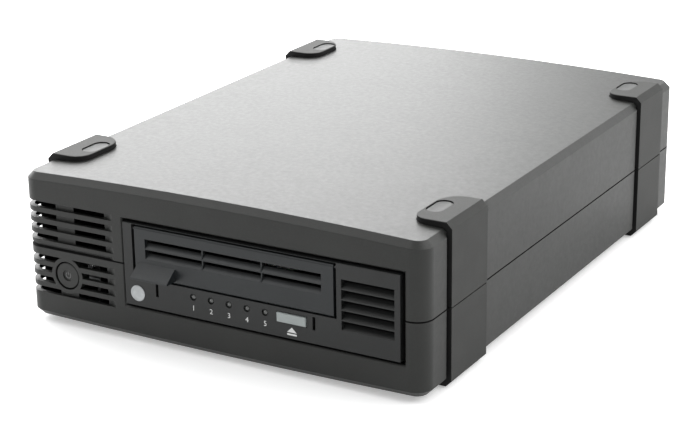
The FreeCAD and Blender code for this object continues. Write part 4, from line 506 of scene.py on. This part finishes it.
def rounded_loop(bm, centre, half_x, half_y, radius, level):
    """The edges of a level rectangle with rounded corners."""
    corners = bmesh.ops.create_grid(bm, x_segments=1, y_segments=1, size=1)["verts"]
    bmesh.ops.scale(bm, vec=(half_x, half_y, 1), verts=corners)
    bmesh.ops.translate(bm, vec=(centre.x, centre.y, level), verts=corners)
    rim = bmesh.ops.bevel(bm, geom=corners, offset=radius, segments=4, profile=0.5, affect="VERTICES",
                          material=-1)
    sheet = rim["verts"][0].link_faces[0]
    edges = sheet.edges[:]
    bmesh.ops.delete(bm, geom=[sheet], context="FACES_ONLY")
    return edges


def sleeve(bm, centre, half_x, half_y, hole_x, hole_y, levels, corner):
    """A closed rectangular ring; levels give (z, how far the outside bulges there)."""
    outside = [rounded_loop(bm, centre, half_x + bulge, half_y + bulge, corner, z) for z, bulge in levels]
    hole = [rounded_loop(bm, centre, hole_x, hole_y, HOLE_CORNER, levels[end][0]) for end in (0, -1)]
    for low, high in [*zip(outside, outside[1:]), hole]:
        bmesh.ops.bridge_loops(bm, edges=low + high)
    for rim, mouth in zip((outside[0], outside[-1]), hole):
        bmesh.ops.triangle_fill(bm, edges=rim + mouth, use_beauty=True)


# ---- the front's marks and lenses ----------------------------------------

LAMPS = 5
LENS = 1.3 * MM
LENS_DOME = ((0, -0.25), (0.45, -0.2), (0.8, 0), (1, 0.4))
LENS_TAIL = ((1, -0.3), (0.8, 0), (0, 0))
lamp_low, lamp_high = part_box("lamp_lenses")
lamp_z = middle("lamp_lenses").z
lamp_span = lamp_high.x - lamp_low.x - 2 * LENS
lamp_xs = [lamp_low.x + LENS + lamp_span * index / (LAMPS - 1) for index in range(LAMPS)]

pipes = bmesh.new()
for x in lamp_xs:
    pipe = by_share(LENS, lamp_low.y, LENS_DOME) + by_share(LENS, lamp_high.y, LENS_TAIL)
    lathe(pipes, pipe, (x, 0, lamp_z), steps=32)
place(tidy(pipes), "lamp_pipes", "case", "lens", "lamp_lenses")

DIGIT = 3.6 * MM
DIGIT_DROP = 6.6 * MM             # from a lamp's middle down to the foot of its number
digits = bmesh.new()
for number, x in enumerate(lamp_xs, start=1):
    text = bpy.data.curves.new("digit", "FONT")
    text.body = str(number)
    text.size = DIGIT
    text.align_x = "CENTER"
    text.extrude = SHEET / 2
    text.resolution_u = 4
    holder = bpy.data.objects.new("digit", text)
    flat = bpy.data.meshes.new_from_object(holder)
    upright = Matrix.Rotation(TURN / 4, 4, "X")
    flat.transform(Matrix.Translation((x, FRONT_Y - SHEET / 2, lamp_z - DIGIT_DROP)) @ upright)
    digits.from_mesh(flat)
    bpy.data.objects.remove(holder)
    bpy.data.meshes.remove(flat)
place(tidy(digits), "lamp_numbers", "case", "bezel", finish="ink")

ARROW_HALF, ARROW_TALL = 2.55 * MM, 2.5 * MM
BAR_TALL, BAR_GAP = 0.85 * MM, 0.6 * MM
MARK_DROP = 0.9 * MM              # from the eject key's lower edge down to the arrow's tip
key_x = middle("eject_button").x
arrow_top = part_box("eject_button")[0].z - MARK_DROP
arrow_foot = arrow_top - ARROW_TALL
bar_top = arrow_foot - BAR_GAP
mark = bmesh.new()
face_film(mark, [(key_x + ARROW_HALF, arrow_foot), (key_x, arrow_top), (key_x - ARROW_HALF, arrow_foot)])
face_film(mark, [(key_x + ARROW_HALF, bar_top - BAR_TALL), (key_x + ARROW_HALF, bar_top),
                 (key_x - ARROW_HALF, bar_top), (key_x - ARROW_HALF, bar_top - BAR_TALL)])
place(tidy(mark), "eject_mark", "case", "bezel", finish="ink")

# a blank badge: satin disc with a raised rim and a shallow dish
BADGE_DISH = ((0, 0.22), (0.55, 0.2), (0.8, 0.12), (0.86, 0.02), (0.9, 0), (0.95, 0.03), (1, 0.16))
badge_low, badge_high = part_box("badge_disc")
badge = middle("badge_disc")
radius = (badge_high.x - badge_low.x) / 2
disc = bmesh.new()
lathe(disc, by_share(radius, badge_low.y, BADGE_DISH) + [(radius, badge_high.y), (0, badge_high.y)],
      (badge.x, 0, badge.z), steps=64)
place(tidy(disc), "badge_blank", "case", "badge", "badge_disc", sharp=50)

# the power symbol on the button's face
SIGN_INNER, SIGN_OUTER = 1.25 * MM, 1.6 * MM
SIGN_OPEN = TURN / 5              # the ring's gap at the top
STROKE_HALF, STROKE_LOW, STROKE_HIGH = 0.18 * MM, 0.3 * MM, 1.9 * MM
FACE_DEEP = 0.6 * MM              # the button's face lies this far behind its rim
knob = middle("power_button")
sign_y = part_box("power_button")[0].y + FACE_DEEP - SHEET
sign = bmesh.new()
lean = Vector((math.sin(SIGN_OPEN / 2), 0, math.cos(SIGN_OPEN / 2)))
middle_face = Vector((knob.x, sign_y, knob.z))
start = [sign.verts.new(middle_face + lean * reach + Vector((0, run, 0)))
         for reach, run in ((SIGN_INNER, 0), (SIGN_OUTER, 0), (SIGN_OUTER, SHEET), (SIGN_INNER, SHEET))]
bmesh.ops.spin(sign, geom=[sign.faces.new(start)], cent=middle_face, axis=(0, 1, 0),
               dvec=(0, 0, 0), angle=TURN - SIGN_OPEN, steps=36)
brick(sign, (knob.x - STROKE_HALF, sign_y, knob.z + STROKE_LOW),
      (knob.x + STROKE_HALF, sign_y + SHEET, knob.z + STROKE_HIGH))
place(tidy(sign), "power_symbol", "power_key", "graphite", finish="grey_ink")

# ---- soft inlays in the grips' dimples -----------------------------------

GRIP_STARTS = (("front", 23.0 * MM), ("rear", 246.8 * MM))
DIMPLE_START, DIMPLE_LONG = 10.0 * MM, 17.0 * MM
DIMPLE_INSET, DIMPLE_WIDE, DIMPLE_DEEP = 10.0 * MM, 8.6 * MM, 0.9 * MM
PAD_GAP, PAD_WALL = 0.25 * MM, 0.3 * MM
PAD_CROWN = ((0.35, 0.12), (1.1, -0.12), (1.6, -0.1))      # millimetres in and up at each step
case_low, case_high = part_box("top_cover")
dimple_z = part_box("upper_grips")[1].z - DIMPLE_DEEP
half_x, half_y = DIMPLE_WIDE / 2 - PAD_GAP, DIMPLE_LONG / 2 - PAD_GAP
for side_name, side in (("left", -1), ("right", 1)):
    for end_name, grip_start in GRIP_STARTS:
        x = side * (case_high.x - DIMPLE_INSET - DIMPLE_WIDE / 2)
        y = case_low.y + grip_start + DIMPLE_START + DIMPLE_LONG / 2
        pad = bmesh.new()
        oval = bmesh.ops.create_circle(pad, cap_ends=True, radius=half_x, segments=40)["verts"]
        for end in (-1, 1):
            half = [vert for vert in oval if math.copysign(1, vert.co.y) == end]
            bmesh.ops.translate(pad, vec=(0, end * (half_y - half_x), 0), verts=half)
        bmesh.ops.translate(pad, vec=(x, y, dimple_z), verts=oval)
        crown, rim = raised(pad, pad.faces[:])
        bmesh.ops.translate(pad, vec=(0, 0, PAD_WALL), verts=rim)
        for inset, lift in PAD_CROWN:
            bmesh.ops.inset_region(pad, faces=crown, thickness=inset * MM, depth=0)
            corners = list({vert for face in crown for vert in face.verts})
            bmesh.ops.translate(pad, vec=(0, 0, lift * MM), verts=corners)
        place(tidy(pad), "grip_inlay_%s_%s" % (end_name, side_name), "case", "grip", finish="inlay", sharp=60)


# ---- sockets and screws at the back ---------------------------------------

BLADE_HALF_X, BLADE_HALF_Z = 1.12 * MM, 2.12 * MM
BLADE_SPOTS = ((-7.0, 2.0), (7.0, 2.0), (0.0, -2.0))       # millimetres across and up
BLADE_START, BLADE_END = 6.5 * MM, 5.3 * MM                # in from the inlet's front and rear
inlet = middle("mains_inlet")
inlet_low, inlet_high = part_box("mains_inlet")
blades = bmesh.new()
for across, level in BLADE_SPOTS:
    x, z = inlet.x + across * MM, inlet.z + level * MM
    brick(blades, (x - BLADE_HALF_X, inlet_low.y + BLADE_START, z - BLADE_HALF_Z),
          (x + BLADE_HALF_X, inlet_high.y - BLADE_END, z + BLADE_HALF_Z), 0.5 * MM, 3)
place(tidy(blades), "inlet_blades", "case", "shaft")

CONTACTS, CONTACT_PITCH = 28, 1.27 * MM
CONTACT_HALF_X, CONTACT_HALF_Z = 0.35 * MM, 0.12 * MM
CONTACT_LIFT = 1.05 * MM          # each row's distance from the socket's middle
CONTACT_START, CONTACT_END = 11.5 * MM, 3.4 * MM           # in from the socket's rear
contacts = bmesh.new()
for node in ("data_socket_lower", "data_socket_upper"):
    socket = middle(node)
    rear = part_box(node)[1].y
    for side in (-1, 1):
        for index in range(CONTACTS):
            x = socket.x + (index - (CONTACTS - 1) / 2) * CONTACT_PITCH
            z = socket.z + side * CONTACT_LIFT
            brick(contacts, (x - CONTACT_HALF_X, rear - CONTACT_START, z - CONTACT_HALF_Z),
                  (x + CONTACT_HALF_X, rear - CONTACT_END, z + CONTACT_HALF_Z))
place(tidy(contacts), "socket_contacts", "case", "shaft", finish="gold")

SCREW_HEAD, SCREW_THREAD = 2.9 * MM, 1.5 * MM
SCREW_TIP = ((0.3, 0), (0, 0.4))
SCREW_DOME = ((1, 0), (1, 0.5), (0.92, 0.95), (0.7, 1.35), (0.4, 1.52), (0, 1.56))
SEAT_BACK = 1.6 * MM              # the heads' seat lies this far in from their tops
CROSS_LONG, CROSS_WIDE = 1.5 * MM, 0.3 * MM
CROSS_LOW, CROSS_HIGH = 1.3 * MM, 1.59 * MM
screw_low, screw_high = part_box("fan_screws")
seat_y = screw_high.y - SEAT_BACK
screw = ([(0, screw_low.y)] + by_inset(SCREW_THREAD, screw_low.y, SCREW_TIP) + [(SCREW_THREAD, seat_y)]
         + by_share(SCREW_HEAD, seat_y, SCREW_DOME))
heads, recess_shade_blocks = bmesh.new(), bmesh.new()
for x in (screw_low.x + SCREW_HEAD, screw_high.x - SCREW_HEAD):
    for z in (screw_low.z + SCREW_HEAD, screw_high.z - SCREW_HEAD):
        lathe(heads, screw, (x, 0, z), steps=32)
        # painted shade: a black cross block in each head stands for the shade inside its cross recess
        for wide, tall in ((CROSS_LONG, CROSS_WIDE), (CROSS_WIDE, CROSS_LONG)):
            brick(recess_shade_blocks, (x - wide, seat_y + CROSS_LOW, z - tall),
                  (x + wide, seat_y + CROSS_HIGH, z + tall))
place(tidy(heads), "fan_screw_bodies", "case", "steel", "fan_screws", sharp=40)
place(tidy(recess_shade_blocks), "fan_screw_recess_shade", "case", "steel", finish="black")


# ---- electronics ----------------------------------------------------------

LEG_HALF_X, LEG_HALF_Y = 6.0 * MM, 7.0 * MM                # the core's leg inside the bobbin
BOBBIN_WALL = 0.4 * MM
WIRES, WIRE_BULGE = 16, 0.35 * MM
WIRE_ROUND = ((0.04, 0), (0.3, 1), (0.7, 1), (0.96, 0))    # share of a wire's height and of its bulge
WINDING_INSET, WINDING_CORNER = 0.8 * MM, 2.5 * MM
FLANGE, FLANGE_SOFT, FLANGE_PROUD, FLANGE_CORNER = 1.0 * MM, 0.15 * MM, 0.75 * MM, 1.0 * MM
HOLE_CORNER = 0.2 * MM
coil_low, coil_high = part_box("transformer_coil")
coil = middle("transformer_coil")
half_x, half_y = (coil_high - coil).x - WINDING_INSET, (coil_high - coil).y - WINDING_INSET
wire_low, wire_high = coil_low.z + FLANGE, coil_high.z - FLANGE
wires = [(wire_low + (wire_high - wire_low) * (index + share) / WIRES, bulge * WIRE_BULGE)
         for index in range(WIRES) for share, bulge in WIRE_ROUND]
winding = bmesh.new()
sleeve(winding, coil, half_x, half_y, LEG_HALF_X + BOBBIN_WALL, LEG_HALF_Y + BOBBIN_WALL, wires,
       WINDING_CORNER)
place(tidy(winding), "coil_winding", "case", "coil", "transformer_coil", sharp=60)
bobbin = bmesh.new()
for low in (coil_low.z, coil_high.z - FLANGE):
    high = low + FLANGE
    flange = ((low, -FLANGE_SOFT), (low + FLANGE_SOFT, 0), (high - FLANGE_SOFT, 0), (high, -FLANGE_SOFT))
    sleeve(bobbin, coil, half_x + FLANGE_PROUD, half_y + FLANGE_PROUD, LEG_HALF_X, LEG_HALF_Y, flange,
           FLANGE_CORNER)
place(tidy(bobbin), "coil_bobbin", "case", "white_plastic", sharp=30)

CAN = 8.0 * MM
CAN_FOOT = ((0.8, 0), (0, 0.8), (0, 2.6), (0.7, 3.3), (0, 4.0))
CAN_RIM = ((0, -0.9), (0.3, -0.3), (0.9, 0), (1.6, -0.05), (1.7, -0.5))
CAN_WELL = 0.5 * MM               # the sleeve's top lies open by this much over the can
TOP_EDGE = ((1.75, -0.6), (1.75, -0.3), (2.1, -0.22))
TOP_LOW, TOP_HIGH = 0.6 * MM, 0.22 * MM
can_low, can_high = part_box("capacitors")
can = ([(0, can_low.z)] + by_inset(CAN, can_low.z, CAN_FOOT) + by_inset(CAN, can_high.z, CAN_RIM)
       + [(0, can_high.z - CAN_WELL)])
top = [(0, can_high.z - TOP_LOW)] + by_inset(CAN, can_high.z, TOP_EDGE) + [(0, can_high.z - TOP_HIGH)]
can_left, can_right = can_low.x + CAN, can_high.x - CAN
can_front, can_back = can_low.y + CAN, can_high.y - CAN
sleeves, tops = bmesh.new(), bmesh.new()
for x, y in ((can_left, can_back), (can_right, can_back), (can_left, can_front)):
    lathe(sleeves, can, (x, y, 0), "Z")
    lathe(tops, top, (x, y, 0), "Z")
place(tidy(sleeves), "capacitor_cans", "case", "can", "capacitors", sharp=40)
place(tidy(tops), "capacitor_tops", "case", "can", finish="alloy")

# each chip's left and front edge on the board, its width and its depth, in millimetres
CHIPS = ((24, 20, 22, 22), (60, 26, 14, 20), (96, 18, 16, 16),
         (22, 80, 18, 12), (50, 120, 24, 14), (16, 130, 10, 18))
LEG_PITCH, LEG_HALF, LEG_OUT = 1.27 * MM, 0.225 * MM, 0.9 * MM
LEG_ENDS = 2 * MM                 # the chip's edge that carries no legs
SHOULDER_LOW, SHOULDER_HIGH, SHOULDER_IN = 0.5 * MM, 0.65 * MM, 0.1 * MM
DROP_THICK = 0.15 * MM
FOOT_THICK, FOOT_LAP = 0.14 * MM, 0.1 * MM
board_low, board_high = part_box("main_board")
legs = bmesh.new()
for left, front, wide, deep in CHIPS:
    chip_left, chip_middle = board_low.x + left * MM, board_low.y + (front + deep / 2) * MM
    count = int((deep * MM - LEG_ENDS) / LEG_PITCH)
    for side_x, sign in ((chip_left, -1), (chip_left + wide * MM, 1)):
        knee = side_x + sign * LEG_OUT / 2
        pieces = ((side_x - sign * SHOULDER_IN, knee, SHOULDER_LOW, SHOULDER_HIGH),
                  (knee - sign * DROP_THICK, knee, 0, SHOULDER_HIGH),
                  (knee - sign * FOOT_LAP, side_x + sign * LEG_OUT, 0, FOOT_THICK))
        for index in range(count):
            y = chip_middle + (index - (count - 1) / 2) * LEG_PITCH
            for one, other, low, high in pieces:
                brick(legs, (min(one, other), y - LEG_HALF, board_high.z + low),
                      (max(one, other), y + LEG_HALF, board_high.z + high))
place(tidy(legs), "chip_legs", "case", "shaft")


# ---- camera and studio ----------------------------------------------------

AZIMUTH, ELEVATION, ROLL = (math.radians(angle) for angle in (29.95, 19.72, -0.74))
AIM = Vector((-0.0061, -0.0085, 0.02383))
DISTANCE, LENS_LENGTH = 0.99475, 97.24
back = Vector((math.sin(AZIMUTH) * math.cos(ELEVATION), -math.cos(AZIMUTH) * math.cos(ELEVATION),
               math.sin(ELEVATION)))
level = Vector((math.cos(AZIMUTH), math.sin(AZIMUTH), 0))
rise = back.cross(level)
right = math.cos(ROLL) * level + math.sin(ROLL) * rise
up = -math.sin(ROLL) * level + math.cos(ROLL) * rise
camera = bpy.data.objects.new("camera", bpy.data.cameras.new("camera"))
camera.data.lens = LENS_LENGTH
camera.data.clip_start = 0.01
camera.data.clip_end = 50
turned_to = Matrix((right, up, back)).transposed().to_4x4()
camera.matrix_world = Matrix.Translation(AIM + back * DISTANCE) @ turned_to
bpy.context.scene.collection.objects.link(camera)
bpy.context.scene.camera = camera


def softbox(name, azimuth, elevation, distance, size, power):
    """A square light that faces the object."""
    lamp = bpy.data.lights.new(name, "AREA")
    lamp.shape = "RECTANGLE"
    lamp.size, lamp.size_y = size
    lamp.energy = power
    holder = bpy.data.objects.new(name, lamp)
    turn, tilt = math.radians(azimuth), math.radians(elevation)
    away = Vector((math.sin(turn) * math.cos(tilt), math.cos(turn) * math.cos(tilt), math.sin(tilt)))
    holder.location = away * distance
    holder.rotation_euler = away.to_track_quat("Z", "Y").to_euler()
    bpy.context.scene.collection.objects.link(holder)


softbox("back_light", -53, 33, 1.7, (1.95, 1.5), 58)
softbox("top_light", 10, 82, 1.8, (1.6, 1.6), 8)
softbox("right_light", 78, 40, 1.5, (1.2, 1.0), 14)
softbox("rim_light", 24, 29, 1.6, (0.7, 0.5), 4)
softbox("front_light", -132, 50, 1.6, (0.9, 0.9), 5)

WHITE = (1, 1, 1, 1)
FLOOR_TINT = (0.86, 0.86, 0.86)
FLOOR_GLOW = 0.36                 # how much the floor shines towards the camera and in gloss
FLOOR_HALF = 6                    # metres
ROOM_LIGHT = 0.45

floor_mesh = bpy.data.meshes.new("floor")
sweep = bmesh.new()
bmesh.ops.create_grid(sweep, x_segments=1, y_segments=1, size=FLOOR_HALF)
sweep.to_mesh(floor_mesh)
sweep.free()
floor = bpy.data.objects.new("floor", floor_mesh)
bpy.context.scene.collection.objects.link(floor)
paper = Finish("floor_paper")
glow = paper.mix(paper.seen_directly(), (0, 0, 0), (FLOOR_GLOW,) * 3)
floor_mesh.materials.append(paper.surface(FLOOR_TINT, 0.9, Emission_Color=glow, Emission_Strength=1))

world = bpy.data.worlds.new("studio")
bpy.context.scene.world = world
sky = Workshop(world)
dim = sky.node("ShaderNodeBackground", None, {"Color": WHITE, "Strength": ROOM_LIGHT})
bright = sky.node("ShaderNodeBackground", None, {"Color": WHITE})
blend = sky.node("ShaderNodeMixShader", None, {0: sky.seen_directly(), 1: dim, 2: bright})
sky.node("ShaderNodeOutputWorld", sockets={"Surface": blend})
bpy.context.scene.view_settings.view_transform = "Standard"
